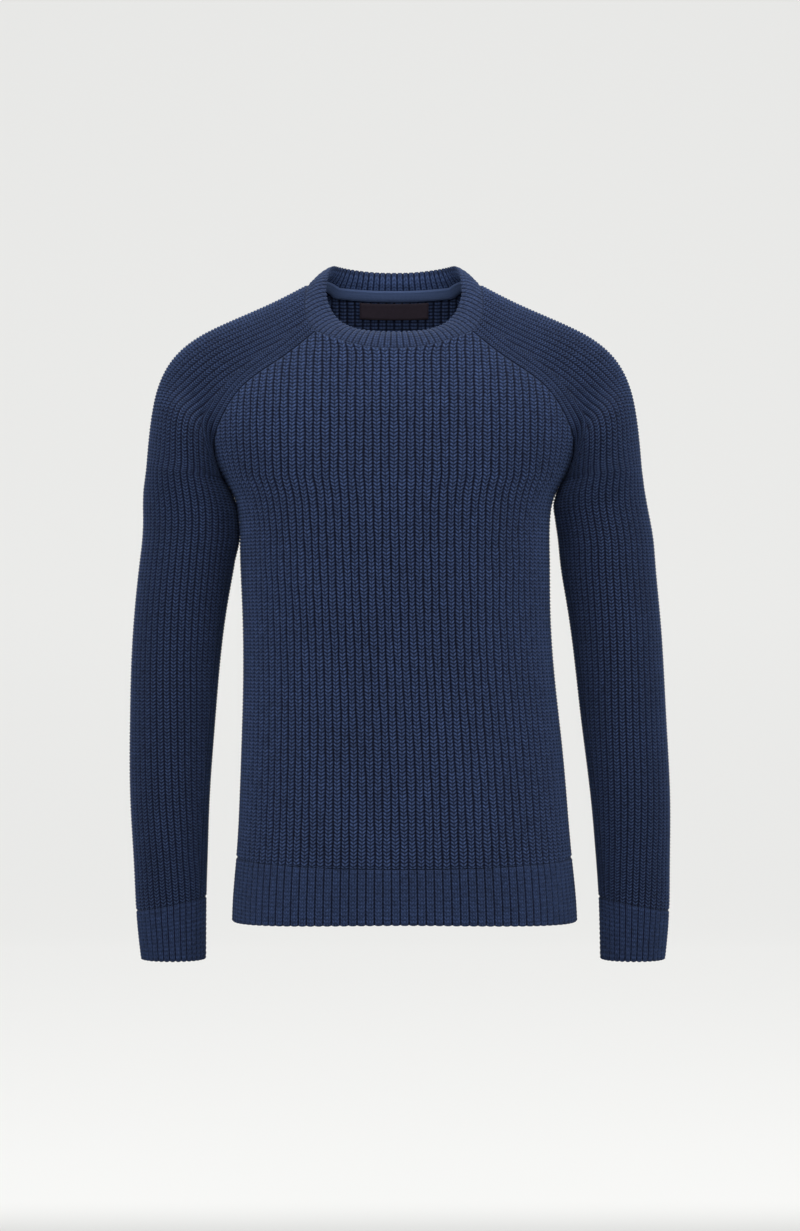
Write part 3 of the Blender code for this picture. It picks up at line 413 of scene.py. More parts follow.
def spline(rows):
    """Give the smooth function through a table's rows, of its first column."""
    table = np.array(sorted(map(tuple, rows)))
    xs, ys = table[:, 0], table[:, 1:]
    steps = np.diff(xs)
    slopes = np.diff(ys, axis=0) / steps[:, None]
    system = np.eye(len(xs))
    right = np.zeros_like(ys)
    for row in range(1, len(xs) - 1):
        before, after = steps[row - 1], steps[row]
        system[row, row - 1:row + 2] = before, 2 * (before + after), after
        right[row] = 6 * (slopes[row] - slopes[row - 1])
    bends = np.linalg.solve(system, right)

    def value(at):
        at = np.clip(at, xs[0], xs[-1])
        cell = np.clip(np.searchsorted(xs, at) - 1, 0, len(xs) - 2)
        step = steps[cell][..., None]
        far = (at - xs[cell])[..., None] / step
        near = 1 - far
        curve = (near ** 3 - near) * bends[cell] + (far ** 3 - far) * bends[cell + 1]
        return near * ys[cell] + far * ys[cell + 1] + curve * step ** 2 / 6

    return value


def path_spline(points):
    """Give the smooth path through points, of the share 0 to 1 of its length."""
    points = np.asarray(points, float)
    run = run_along(points)
    return spline(np.column_stack((run / run[-1], points)))


def invert_run(samples, wanted):
    """Give the sample number, with its fraction, at a length along each sampled line."""
    steps = np.linalg.norm(np.diff(samples, axis=-2), axis=-1)
    run = np.concatenate((np.zeros_like(steps[..., :1]), np.cumsum(steps, axis=-1)), axis=-1)
    wanted = np.minimum(wanted, run[..., -1])
    cell = np.clip((run < wanted[..., None]).sum(axis=-1) - 1, 0, steps.shape[-1] - 1)
    start = np.take_along_axis(run, cell[..., None], -1)[..., 0]
    step = np.take_along_axis(steps, cell[..., None], -1)[..., 0]
    return cell + (wanted - start) / np.maximum(step, 1e-9)


body_sizes = spline(BODY)
sleeve_sizes = spline(SLEEVE)
body_lean = spline(BODY_LEAN)
sleeve_lean = spline(SLEEVE_LEAN)
TURN_SHARES = np.linspace(0, 1, SECTION_SAMPLES) ** (SECTION_EXPONENT / 2)
TURNS = np.pi / 2 * TURN_SHARES / (TURN_SHARES + TURN_SHARES[::-1])
HALF_TURNS = np.linspace(0, 1, HALF_SLEEVE_SAMPLES)


def body_section(face, z, turns):
    """Give the x and depth of a level section at each turn from its centre line."""
    sizes = body_sizes(z)
    width = sizes[..., 0 if face == FRONT else 1]
    depth = sizes[..., 2 if face == FRONT else 3]
    power = 2 / SECTION_EXPONENT
    return np.stack((width * np.sin(turns) ** power, depth * np.cos(turns) ** power), -1)


def body_form(face, ribs, z):
    """Give points of the body's form, at rib numbers from the centre line and heights."""
    ribs, z = np.broadcast_arrays(np.asarray(ribs, float), np.asarray(z, float))
    samples = body_section(face, z[..., None], TURNS)
    full = body_section(face, np.minimum(z, UNDERARM_Z)[..., None], TURNS)
    girth = np.linalg.norm(np.diff(full, axis=-2), axis=-1).sum(axis=-1)
    number = invert_run(samples, np.abs(ribs) / HALF_PANEL_RIBS * girth)
    section = body_section(face, z, np.interp(number, np.arange(len(TURNS)), TURNS))
    return np.stack((section[..., 0] * np.sign(ribs + 1e-12), face * section[..., 1], z), -1)


def body_normal(face, ribs, z):
    """Give the outward direction at points of the body's form."""
    across = body_form(face, np.minimum(ribs + SMALL_RIBS, HALF_PANEL_RIBS), z)
    across = across - body_form(face, ribs - SMALL_RIBS, z)
    up = body_form(face, ribs, z + SMALL_HEIGHT) - body_form(face, ribs, z - SMALL_HEIGHT)
    return unit(-face * np.cross(across, up))


def smooth_step(x):
    """Give a soft rise from 0 to 1."""
    x = np.clip(x, 0, 1)
    return x * x * (3 - 2 * x)


class Seam:
    """A seam line: points by station, the cloth's normal, and the way across the seam."""

    def __init__(self, stations, points, normals):
        self.stations = stations
        self.points = points
        self.normals = unit(normals)
        along = np.gradient(points, axis=0)
        self.across = unit(np.cross(self.normals, along))

    def at(self, station):
        """Give the point, normal and across direction at stations."""
        points, normals, across = (between_steps(station, self.stations, rows)
                                   for rows in (self.points, self.normals, self.across))
        return points, unit(normals), unit(across)


def armhole():
    """Give the armhole's stations, ribs, heights, points and body normals."""
    chart = np.array(ARMHOLE)
    metres = chart * np.array((RIB_PITCH, 1.0))
    run = run_along(metres)
    under = run[ARMHOLE.index((HALF_PANEL_RIBS, UNDERARM_Z))]
    stations = np.where(run <= under, run / under, 1 + (run - under) / (run[-1] - under))
    dense = np.linspace(0, 2, HOLE_SAMPLES)
    ribs, z = spline(np.column_stack((stations, chart)))(dense).T
    ribs = np.where(np.abs(dense - 1) < 1e-9, HALF_PANEL_RIBS, ribs)
    front, back = dense <= 1, dense > 1
    on_back = 2 * HALF_PANEL_RIBS - ribs[back]
    points = np.vstack((body_form(FRONT, ribs[front], z[front]), body_form(BACK, on_back, z[back])))
    normals = np.vstack((body_normal(FRONT, ribs[front], z[front]),
                         body_normal(BACK, on_back, z[back])))
    return dense, ribs, z, points, normals


def sleeve_frames(hole_points, hole_normals, hole_stations):
    """Give each station's seam points, shoulder point and the pull of both ends.

    Stations run from 0 at the neck over 1 at the underarm and 2 at the cuff seam to 3 at
    the cuff's edge. A half section is a cubic curve from the shoulder line to the seam.
    """
    cap = np.linspace(0, 1, CAP_SAMPLES)
    shoulder = path_spline([(x, 0.0, z) for x, z in SHOULDER])(cap)
    seam_pull, shoulder_pull, fold = np.split(spline(CAP)(cap), 3, axis=1)
    along = np.gradient(hole_points, axis=0)
    across = unit(np.cross(hole_normals, along))
    frames = {}
    for face, stations in ((FRONT, cap), (BACK, 2 - cap)):
        seam = between_steps(stations, hole_stations, hole_points)
        leave = between_steps(stations, hole_stations, across)
        leave = unit((1 - fold) * unit(leave) + fold * np.array((0.0, face, 0.0)))
        over = np.array((0.0, face, 0.0)) * shoulder_pull
        frames[face] = [seam, leave * seam_pull, shoulder, over]
    levels = np.concatenate((np.linspace(SLEEVE[0][0], CUFF_SEAM_Z, CAP_SAMPLES)[1:],
                             np.linspace(CUFF_SEAM_Z, CUFF_EDGE_Z, CUFF_SAMPLES)[1:]))
    stations = np.concatenate((cap, np.linspace(1, 2, CAP_SAMPLES)[1:],
                               np.linspace(2, 3, CUFF_SAMPLES)[1:]))
    inner_x, outer_x, half_depth, rise, y = sleeve_sizes(levels).T
    inner = np.column_stack((inner_x, y, levels - rise / 2))
    outer = np.column_stack((outer_x, y, levels + rise / 2))
    for face, (seam, leave, top, over) in frames.items():
        pull = np.array((0.0, face, 0.0)) * (4 / 3 * half_depth)[:, None]
        frames[face] = [np.vstack((seam, inner)), np.vstack((leave, pull)),
                        np.vstack((top, outer)), np.vstack((over, pull))]
    return stations, frames


hole_stations, hole_ribs, hole_z, hole_points, hole_body_normals = armhole()
frame_stations, frames = sleeve_frames(hole_points, hole_body_normals, hole_stations)


def sleeve_section(face, station, samples):
    """Give a half section's points at samples, 0 at the shoulder line and 1 at the seam."""
    seam, leave, top, over = (between_steps(station, frame_stations, rows) for rows in frames[face])
    far = np.asarray(samples)[..., None]
    near = 1 - far
    return (near ** 3 * top + 3 * near ** 2 * far * (top + over)
            + 3 * near * far ** 2 * (seam + leave) + far ** 3 * seam)


def half_length(face, station):
    """Give the length of half sections at stations."""
    samples = sleeve_section(face, np.asarray(station)[..., None], HALF_TURNS)
    return np.linalg.norm(np.diff(samples, axis=-2), axis=-1).sum(axis=-1)


def rib_table(face, neck_ribs):
    """Give stations and the number of ribs that half a sleeve has there."""
    cap = np.linspace(0, 1, RIB_TABLE_SAMPLES)
    lengths = np.maximum.accumulate(half_length(face, cap))
    grown = (lengths - lengths[0]) / (lengths[-1] - lengths[0])
    grown = CAP_GROWTH * grown + (1 - CAP_GROWTH) * cap
    ribs = neck_ribs + (HALF_SLEEVE_RIBS - neck_ribs) * grown
    full = 1 + (FULL_WIDTH_Z - SLEEVE[0][0]) / (CUFF_SEAM_Z - SLEEVE[0][0])
    stations = np.concatenate((cap, (full, 2, 3)))
    return stations, np.concatenate((ribs, (HALF_SLEEVE_RIBS, HALF_CUFF_RIBS, HALF_CUFF_RIBS)))


RIB_TABLES = {FRONT: rib_table(FRONT, CAP_RIBS_FRONT), BACK: rib_table(BACK, CAP_RIBS_BACK)}


def sleeve_form(face, ribs, station):
    """Give points of the sleeve's form, at rib numbers from the shoulder line."""
    ribs, station = np.broadcast_arrays(np.asarray(ribs, float), np.asarray(station, float))
    samples = sleeve_section(face, station[..., None], HALF_TURNS)
    length = np.linalg.norm(np.diff(samples, axis=-2), axis=-1).sum(axis=-1)
    wanted = np.abs(ribs) / np.interp(station, *RIB_TABLES[face]) * length
    number = invert_run(samples, wanted)
    return sleeve_section(face, station, np.clip(number / (len(HALF_TURNS) - 1), 0, 1))


def sleeve_normal(face, ribs, station):
    """Give the outward direction at points of the sleeve's form."""
    total = np.interp(station, *RIB_TABLES[face])
    small = SMALL_STATION * total
    across = sleeve_form(face, np.minimum(ribs + small, total), station)
    across = across - sleeve_form(face, np.maximum(ribs - small, 0), station)
    across = np.where((np.asarray(ribs) <= 0)[..., None], np.array((0.0, face, 0.0)), across)
    ends = []
    for offset in (SMALL_STATION, -SMALL_STATION):
        at = np.clip(np.asarray(station, float) + offset, 0, 3)
        ends.append(sleeve_form(face, ribs * np.interp(at, *RIB_TABLES[face]) / total, at))
    down = ends[0] - ends[1]
    return unit(-face * np.cross(across, down))


def neck():
    """Give the half neck seam's points and normals, from centre front to centre back."""
    body_front = np.linspace(0, NECK_RIBS_FRONT, NECK_SAMPLES + 1)
    body_back = np.linspace(NECK_RIBS_BACK, 0, NECK_SAMPLES + 1)
    cap_front = np.linspace(CAP_RIBS_FRONT, 0, NECK_SAMPLES + 1)[1:]
    cap_back = np.linspace(0, CAP_RIBS_BACK, NECK_SAMPLES + 1)[1:-1]
    z_front = spline(NECK_SEAM_FRONT)(body_front)[:, 0]
    z_back = spline(NECK_SEAM_BACK)(body_back)[:, 0]
    points = np.vstack((body_form(FRONT, body_front, z_front), sleeve_form(FRONT, cap_front, 0),
                        sleeve_form(BACK, cap_back, 0), body_form(BACK, body_back, z_back)))
    normals = np.vstack((body_normal(FRONT, body_front, z_front),
                         sleeve_normal(FRONT, cap_front, 0), sleeve_normal(BACK, cap_back, 0),
                         body_normal(BACK, body_back, z_back)))
    return points, normals


NECK_CORNERS = tuple(NECK_SAMPLES * corner for corner in range(5))
neck_points, neck_body_normals = neck()
neck_run = run_along(neck_points)
neck_share = neck_run / neck_run[-1]


def collar_edge():
    """Give the collar's folded edge at each point of the half neck seam."""
    shares = neck_share[list(NECK_CORNERS)]
    rows = []
    for corner, x, y, z in COLLAR_EDGE:
        rows.append((np.interp(corner, range(len(shares)), shares), x, y, z))
    before = [(-share, -x, y, z) for share, x, y, z in rows[1:3]]
    after = [(2 - share, -x, y, z) for share, x, y, z in rows[3:5]]
    return spline(before + rows + after)(neck_share)


def make_seams():
    """Give the neck seam and the armhole seam, which share their corners' normals."""
    edge = collar_edge()
    along = np.gradient(neck_points, axis=0)
    along[[0, -1]] = np.array(((1.0, 0.0, 0.0), (-1.0, 0.0, 0.0)))
    collar_normals = unit(np.cross(along, edge - neck_points))
    neck_seam = Seam(neck_share, neck_points, neck_body_normals + collar_normals)
    along = np.gradient(hole_points, axis=0)
    leave = np.vstack((frames[FRONT][1][:CAP_SAMPLES], frames[BACK][1][CAP_SAMPLES - 2::-1]))
    at = np.concatenate((frame_stations[:CAP_SAMPLES], 2 - frame_stations[CAP_SAMPLES - 2::-1]))
    leave = between_steps(hole_stations, at, leave)
    normals = unit(unit(np.cross(along, leave)) + hole_body_normals)
    end = np.minimum(hole_stations, 2 - hole_stations)
    near_neck = (1 - smooth_step(end / NECK_BLEND))[:, None]
    front_corner, back_corner = (neck_seam.normals[NECK_CORNERS[i]] for i in (1, 3))
    corner = np.where(hole_stations[:, None] < 1, front_corner, back_corner)
    normals = unit(normals * (1 - near_neck) + corner * near_neck)
    normals[UNDERARM] = (0.0, 0.0, -1.0)
    return neck_seam, Seam(hole_stations, hole_points, normals), edge


neck_seam, hole_seam, collar_edge_points = make_seams()


def seam_side(seam, station, side, depth):
    """Give points beside a seam, on one side of it and at a depth below the crests."""
    points, normals, across = seam.at(station)
    share = np.asarray(depth) / WALL
    outer_gap = ARMHOLE_GAP if seam is hole_seam else SEAM_GAP
    gap = outer_gap / 2 + (INNER_SEAM_GAP - outer_gap) / 2 * share
    return points + side * across * gap[..., None] - normals * np.asarray(depth)[..., None]


def panel_top(face, ribs):
    """Give the height of a panel's top edge at rib numbers."""
    neck_ribs = NECK_RIBS_FRONT if face == FRONT else NECK_RIBS_BACK
    chart = NECK_SEAM_FRONT if face == FRONT else NECK_SEAM_BACK
    neck_z = spline(chart)(np.minimum(ribs, neck_ribs))[:, 0]
    if face == FRONT:
        side_z = np.interp(ribs, hole_ribs[:UNDERARM + 1], hole_z[:UNDERARM + 1])
    else:
        back_ribs = 2 * HALF_PANEL_RIBS - hole_ribs[:UNDERARM - 1:-1]
        side_z = np.interp(ribs, back_ribs, hole_z[:UNDERARM - 1:-1])
    return np.where(ribs <= neck_ribs, neck_z, side_z)


def panel_top_points(face, ribs, depth):
    """Give a panel's top edge: the neck seam, then the armhole seam."""
    neck_ribs = NECK_RIBS_FRONT if face == FRONT else NECK_RIBS_BACK
    corner, other = (0, 1) if face == FRONT else (4, 3)
    start, end = neck_share[NECK_CORNERS[corner]], neck_share[NECK_CORNERS[other]]
    on_neck = start + (end - start) * np.minimum(ribs / neck_ribs, 1)
    if face == FRONT:
        on_hole = np.interp(ribs, hole_ribs[:UNDERARM + 1], hole_stations[:UNDERARM + 1])
    else:
        back_ribs = 2 * HALF_PANEL_RIBS - hole_ribs[:UNDERARM - 1:-1]
        on_hole = np.interp(ribs, back_ribs, hole_stations[:UNDERARM - 1:-1])
    neck_side = seam_side(neck_seam, on_neck, -1, depth)
    hole_side = seam_side(hole_seam, on_hole, -1, depth)
    at_corner = np.abs(ribs - neck_ribs) < 0.01
    base, lift, _ = neck_seam.at(on_neck)
    both = neck_side + hole_side - base + lift * depth[:, None]
    top = np.where((ribs < neck_ribs)[:, None], neck_side, hole_side)
    return np.where(at_corner[:, None], both, top)


def hem_seam_z(ribs):
    """Give the height of the seam between body and hem rib."""
    return HEM_SEAM_Z + HEM_SEAM_RISE_AT_SIDES * smooth_step(np.abs(ribs) / HALF_PANEL_RIBS)


def hem_edge_z(ribs):
    """Give the height of the hem rib's lower edge."""
    return HEM_EDGE_Z - HEM_EDGE_DROP_AT_SIDES * smooth_step(np.abs(ribs) / HALF_PANEL_RIBS)


def part_at_sides(points, face, ribs, gap):
    """Move a panel's side edges clear of the side seam."""
    points[..., 1] += np.where(np.abs(ribs) >= HALF_PANEL_RIBS, face * gap / 2, 0.0)
    return points


def half_panel_points(face, ribs, z, depth, side_gap):
    """Give points of half a panel at a depth below the crests, clear of the side seam."""
    points = body_form(face, ribs, z) - body_normal(face, ribs, z) * depth[..., None]
    return part_at_sides(points, face, ribs, side_gap)


def sleeve_points(face, ribs, stations, depth):
    """Give points of the sleeve at a depth below the crests, clear of its seams."""
    ribs, stations, depth = np.broadcast_arrays(ribs, stations, depth)
    ribs, stations, depth = (np.array(values, float) for values in (ribs, stations, depth))
    at_edge = ribs >= np.interp(stations, *RIB_TABLES[face]) - 0.001
    normals = sleeve_normal(face, ribs, stations)
    tube_edge = at_edge & (stations > 1)
    normals[tube_edge] = unit(normals[tube_edge] * np.array((1.0, 0.0, 1.0)))
    points = sleeve_form(face, ribs, stations) - normals * depth[..., None]
    hole_edge = at_edge & (stations <= 1)
    around = stations if face == FRONT else 2 - stations
    beside_hole = seam_side(hole_seam, around, 1, depth)
    at_neck = stations <= 0
    corner, step = (0, 1) if face == FRONT else (4, -1)
    side_share = neck_share[NECK_CORNERS[2]]
    corner_share = neck_share[NECK_CORNERS[corner + step]]
    along = side_share + (corner_share - side_share) * ribs / np.interp(0, *RIB_TABLES[face])
    beside_neck = seam_side(neck_seam, along, -1, depth)
    base, lift, _ = neck_seam.at(along)
    both = beside_hole + beside_neck - base + lift * depth[..., None]
    points = np.where(at_neck[..., None], beside_neck, points)
    points = np.where(hole_edge[..., None], beside_hole, points)
    return np.where((hole_edge & at_neck)[..., None], both, points)


def tape_edges(depth, back_ribs, sleeve_ribs):
    """Give the tape's upper and lower edge lines at a depth, from centre back to its end.

    It crosses the back and runs on over the top of the sleeve.
    """
    depths = np.full(len(back_ribs), depth)
    back_top = panel_top_points(BACK, back_ribs, depths)
    back_low = half_panel_points(BACK, back_ribs, panel_top(BACK, back_ribs) - TAPE_DEPTH, depths, 0)
    corner = neck_share[NECK_CORNERS[3]]
    corner_top = seam_side(neck_seam, np.array([corner]), -1, np.array([depth]))
    place, normal, _ = hole_seam.at(np.array([2 - TAPE_STATION]))
    corner_low = place - normal * depth
    depths = np.full(len(sleeve_ribs), depth)
    ribs_below = sleeve_ribs * np.interp(TAPE_STATION, *RIB_TABLES[BACK]) / CAP_RIBS_BACK
    sleeve_top = sleeve_points(BACK, sleeve_ribs, 0.0, depths)
    sleeve_low = sleeve_points(BACK, ribs_below, TAPE_STATION, depths)
    top = np.vstack((back_top, corner_top, sleeve_top))
    return top, np.vstack((back_low, corner_low, sleeve_low))


# The sleeve's length down its shoulder and outer line, at each of its stations
sleeve_run = run_along(frames[FRONT][2])
CUFF_SEAM_RUN = np.interp(2.0, frame_stations, sleeve_run)
CUFF_EDGE_RUN = sleeve_run[-1]


class FormGrid:
    """Points and normals of a form at even steps, read smoothly between them."""

    def __init__(self, rows, columns, points, normals):
        self.rows = rows
        self.columns = columns
        self.values = np.concatenate((points, normals), axis=-1)

    def at(self, row, column):
        """Give points and normals at row and column values."""
        row, column = np.broadcast_arrays(row, column)
        parts = []
        for wanted, steps in ((row, self.rows), (column, self.columns)):
            place = np.interp(wanted, steps, np.arange(len(steps)))
            cell = np.clip(place.astype(int), 0, len(steps) - 2)
            parts.append((cell, (place - cell)[..., None]))
        (i, down), (j, over) = parts
        low = self.values[i, j] * (1 - over) + self.values[i, j + 1] * over
        high = self.values[i + 1, j] * (1 - over) + self.values[i + 1, j + 1] * over
        mixed = low * (1 - down) + high * down
        return mixed[..., :3], unit(mixed[..., 3:])


def body_grid(face):
    """Give the body's form as a grid, by height and rib number."""
    rows = np.linspace(*BODY_GRID_ROWS)
    columns = np.linspace(0, HALF_PANEL_RIBS, BODY_GRID_COLUMNS)
    points = body_form(face, columns, rows[:, None])
    return FormGrid(rows, columns, points, body_normal(face, columns, rows[:, None]))


def sleeve_grid(face):
    """Give the sleeve's form as a grid, by station and share of its rib count."""
    rows = np.concatenate([[0.0]] + [np.linspace(start, start + 1, count)[1:]
                                     for start, count in enumerate(SLEEVE_GRID_ROWS)])
    columns = np.linspace(0, 1, SLEEVE_GRID_COLUMNS)
    ribs = np.interp(rows, *RIB_TABLES[face])[:, None] * columns
    points = sleeve_form(face, ribs, rows[:, None])
    return FormGrid(rows, columns, points, sleeve_normal(face, ribs, rows[:, None]))


body_grids = {face: body_grid(face) for face in (FRONT, BACK)}
sleeve_grids = {face: sleeve_grid(face) for face in (FRONT, BACK)}


def wander(ribs, along):
    """Give the small shifts of the knitting, in ribs, by rib number and metres along it."""
    waves = [share * np.sin(by_metre * along + by_rib * ribs + start)
             for share, by_metre, by_rib, start in WANDER_WAVES]
    return WANDER * sum(waves)


def off_crest(ribs):
    """Give how far rib numbers lie from the nearest crest: 0 on it and 0.5 in a valley."""
    return np.abs(ribs - np.floor(ribs + 0.5))


class Cloth:
    """Collects the points and faces of one closed cloth wall.

    Each point has its place, the way out of the wall there, its rib and course numbers,
    how far it is from an edge, and its share of the stitches' height.
    """

    def __init__(self):
        self.values = []
        self.faces = []
        self.count = 0

    def add(self, values):
        """Keep points and give the number of the first."""
        first = self.count
        self.values.append(values.reshape(-1, values.shape[-1]))
        self.count += len(self.values[-1])
        return first

    def grid(self, values):
        """Fill a grid of points, given as rows of columns."""
        first = self.add(values)
        rows, columns = values.shape[:2]
        numbers = first + np.arange(rows * columns).reshape(rows, columns)
        a, b, c, d = numbers[:-1, :-1], numbers[:-1, 1:], numbers[1:, 1:], numbers[1:, :-1]
        self.faces.append(np.stack((a, b, c), -1).reshape(-1, 3))
        self.faces.append(np.stack((a, c, d), -1).reshape(-1, 3))

    def strip(self, first, second, first_at, second_at):
        """Fill the strip between two lines, whose points are matched by the given values."""
        near, far = self.add(first), self.add(second)
        a, b = 0, 0
        faces = []
        while a < len(first) - 1 or b < len(second) - 1:
            take_first = b == len(second) - 1
            if not take_first and a < len(first) - 1:
                take_first = first_at[a + 1] <= second_at[b + 1] + 1e-9
            if take_first:
                faces.append((near + a, near + a + 1, far + b))
                a += 1
            else:
                faces.append((near + a, far + b + 1, far + b))
                b += 1
        self.faces.append(np.array(faces))


    def face(self, side, points, normals, ribs, courses, edge):
        """Fill a wall's outer face, side 1, or its inner face, side -1, which has no stitches."""
        shown, stitched = (ribs, 1.0) if side > 0 else (ribs + 0.5, 0.0)
        values = cloth_values(points, side * normals, shown, courses, edge, stitched)
        self.grid(values)
        return values

    def close(self, outer, inner, across, by_height):
        """Join a wall's two faces along the ends of their rows and columns."""
        for row in (0, -1):
            self.strip(outer[row], inner[row], across, across)
        for column in (0, -1):
            ends = outer[:, column], inner[:, column]
            self.strip(*ends, *(end[:, 2] if by_height else np.arange(len(end)) for end in ends))


def cloth_values(points, outward, ribs, courses, edge, stitches):
    """Join what a cloth point carries into one array."""
    shape = points.shape[:-1]
    knit = [np.broadcast_to(part, shape)[..., None] for part in (ribs, courses, edge, stitches)]
    return np.concatenate([points, outward] + knit, axis=-1)


# Part of a half wave that a crease's depth follows from one end to the other
FOLD_START = 0.12
FOLD_SPAN = 0.76


def folds(points, outward, table):
    """Move points in or out along soft creases: depth by distance from each crease line."""
    moved = np.zeros(points.shape[:-1])
    for ax, ay, az, bx, by, bz, width, depth in table:
        start = np.array((ax, ay, az))
        line = np.array((bx, by, bz)) - start
        share = np.clip(((points - start) @ line) / (line @ line), 0, 1)
        away = np.linalg.norm(points - start - share[..., None] * line, axis=-1)
        fade = np.sin(np.pi * (FOLD_START + FOLD_SPAN * share))
        moved += depth * fade * np.exp(-(away / width) ** 2)
    return points + outward * moved[..., None]


def press(points, reach):
    """Move a sleeve's inner side towards the body."""
    inner_x, outer_x = sleeve_sizes(points[:, 2])[:, :2].T
    share = np.clip((inner_x + outer_x - 2 * points[:, 0]) / (outer_x - inner_x), 0, 1)
    heights, shifts = np.array(reach).T
    points[:, 0] -= np.interp(points[:, 2], heights, shifts) * share ** 2


def make_cloth(name, cloth, lean, mirror, creases, reach=None):
    """Make a mesh object from a cloth wall, with its knitting numbers as attributes."""
    values = np.concatenate(cloth.values)
    faces = np.concatenate(cloth.faces)
    points, outward = values[:, :3].copy(), values[:, 3:6].copy()
    if reach is not None:
        press(points, reach)
    if mirror:
        points[:, 0] *= -1
        outward[:, 0] *= -1
    way_out = outward * np.where(values[:, 9:] > 0, 1.0, -1.0)
    points = folds(points, way_out, creases)
    if lean is not None:
        points[:, 0] += lean(points[:, 2])[:, 0]
    mesh = bpy.data.meshes.new(name)
    mesh.vertices.add(len(points))
    mesh.vertices.foreach_set("co", points.ravel())
    mesh.loops.add(faces.size)
    mesh.loops.foreach_set("vertex_index", faces.ravel())
    mesh.polygons.add(len(faces))
    mesh.polygons.foreach_set("loop_start", np.arange(0, faces.size, 3))
    mesh.update(calc_edges=True)
    for title, kind, field, part in (("outward", "FLOAT_VECTOR", "vector", outward),
                                     ("knit", "FLOAT_VECTOR", "vector", values[:, 6:9]),
                                     ("stitches", "FLOAT", "value", values[:, 9])):
        mesh.attributes.new(title, kind, "POINT").data.foreach_set(field, part.ravel())
    shape = bmesh.new()
    shape.from_mesh(mesh)
    bmesh.ops.remove_doubles(shape, verts=shape.verts, dist=WELD_DISTANCE)
    bmesh.ops.recalc_face_normals(shape, faces=shape.faces)
    shape.to_mesh(mesh)
    shape.free()
    made = bpy.data.objects.new(name, mesh)
    bpy.context.scene.collection.objects.link(made)
    return made


def body_points(face, ribs, z):
    """Give points and normals of the body's form at signed rib numbers."""
    points, normals = body_grids[face].at(z, np.abs(ribs))
    side = np.where(ribs < 0, -1.0, 1.0)[..., None] * np.array((1.0, 0, 0)) + np.array((0, 1.0, 1.0))
    return points * side, normals * side


def top_edge(face, ribs, depth):
    """Give a panel's top edge at signed rib numbers."""
    points = panel_top_points(face, np.abs(ribs), np.full(len(ribs), depth))
    points[:, 0] *= np.where(ribs < 0, -1.0, 1.0)
    return part_at_sides(points, face, ribs, SEAM_GAP)


def level_rows(side, step, course, low, high, rise):
    """Give a wall face's course numbers and heights, from its low edge to its high one.

    The outer face has a row each half course, and its rows rise and fall with the stitches.
    """
    count = int(np.ceil((high.max() - low.min()) / course / step)) + 3
    courses = (np.arange(count) - 1.0)[:, None] * step
    z = np.clip(low.min() + courses * course + (rise if side > 0 else 0.0), low, high)
    if side < 0:
        z[0], z[-1] = low, high
    return courses, z


def knit_panel(name, face, creases):
    """Make the front or the back: half-cardigan rib in V-shaped stitches."""
    cloth = Cloth()
    ribs = np.linspace(-HALF_PANEL_RIBS, HALF_PANEL_RIBS, int(2 * HALF_PANEL_RIBS * BODY_SUBCOLUMNS) + 1)
    low = hem_seam_z(ribs) + SEAM_GAP / 2
    high = panel_top(face, np.abs(ribs))
    rise = 2 * ARM_RISE * off_crest(ribs) * BODY_COURSE
    grids = []
    for side, step, depth in ((1.0, 0.5, 0.0), (-1.0, INNER_ROW_STEP / BODY_COURSE, WALL)):
        courses, z = level_rows(side, step, BODY_COURSE, low, high, rise)
        below_top = high - z
        free = smooth_step(np.minimum(below_top, z - low) / WANDER_FADE)
        free = free * smooth_step((HALF_PANEL_RIBS - np.abs(ribs)) / 2)
        shifted = ribs + wander(ribs, z) * free if side > 0 else ribs + 0 * z
        points, normals = body_points(face, shifted, z)
        points = points - normals * depth
        shift = top_edge(face, ribs, depth) - points[-1]
        points = points + shift * (1 - smooth_step(below_top / TAPE_DEPTH))[..., None]
        edge = smooth_step(np.minimum(below_top, z - low) / EDGE_FADE)
        part_at_sides(points, face, ribs, SEAM_GAP if side > 0 else INNER_SEAM_GAP)
        grids.append(cloth.face(side, points, normals, ribs, courses, edge))
    cloth.close(*grids, ribs, True)
    return make_cloth(name, cloth, body_lean, False, creases)


def wale_rise(ribs, course):
    """Give how far the points of a two-wale rib's stitches rise at rib numbers."""
    return 6 * ARM_RISE * np.abs(off_crest(ribs) - 1 / 6) * course * 0.5


def scallop(ribs):
    """Give how far a cast-off edge is drawn in at rib numbers: most between two ribs."""
    return SCALLOP * smooth_step((off_crest(ribs) - SCALLOP_START) / (0.5 - SCALLOP_START))


def knit_hem(name, face):
    """Make half of the hem rib: each rib is a flat column of two wales."""
    cloth = Cloth()
    ribs = np.linspace(-HALF_PANEL_RIBS, HALF_PANEL_RIBS, int(2 * HALF_PANEL_RIBS * WALE_SUBCOLUMNS) + 1)
    low = hem_edge_z(ribs) + scallop(ribs)
    high = hem_seam_z(ribs) - SEAM_GAP / 2
    rise = wale_rise(ribs, HEM_COURSE)
    grids = []
    for side, step, depth in ((1.0, 0.5, 0.0), (-1.0, INNER_EDGE_STEP, WALL)):
        courses, z = level_rows(side, step, HEM_COURSE, low, high, rise)
        points, normals = body_points(face, np.broadcast_to(ribs, z.shape), z)
        points = points - normals * depth
        edge = smooth_step(np.minimum(high - z, (z - low) * 2 + CAST_OFF_RELIEF * EDGE_FADE) / EDGE_FADE)
        part_at_sides(points, face, ribs, SEAM_GAP if side > 0 else INNER_SEAM_GAP)
        grids.append(cloth.face(side, points, normals, ribs, courses, edge))
    cloth.close(*grids, ribs, True)
    return make_cloth(name, cloth, body_lean, False, ())


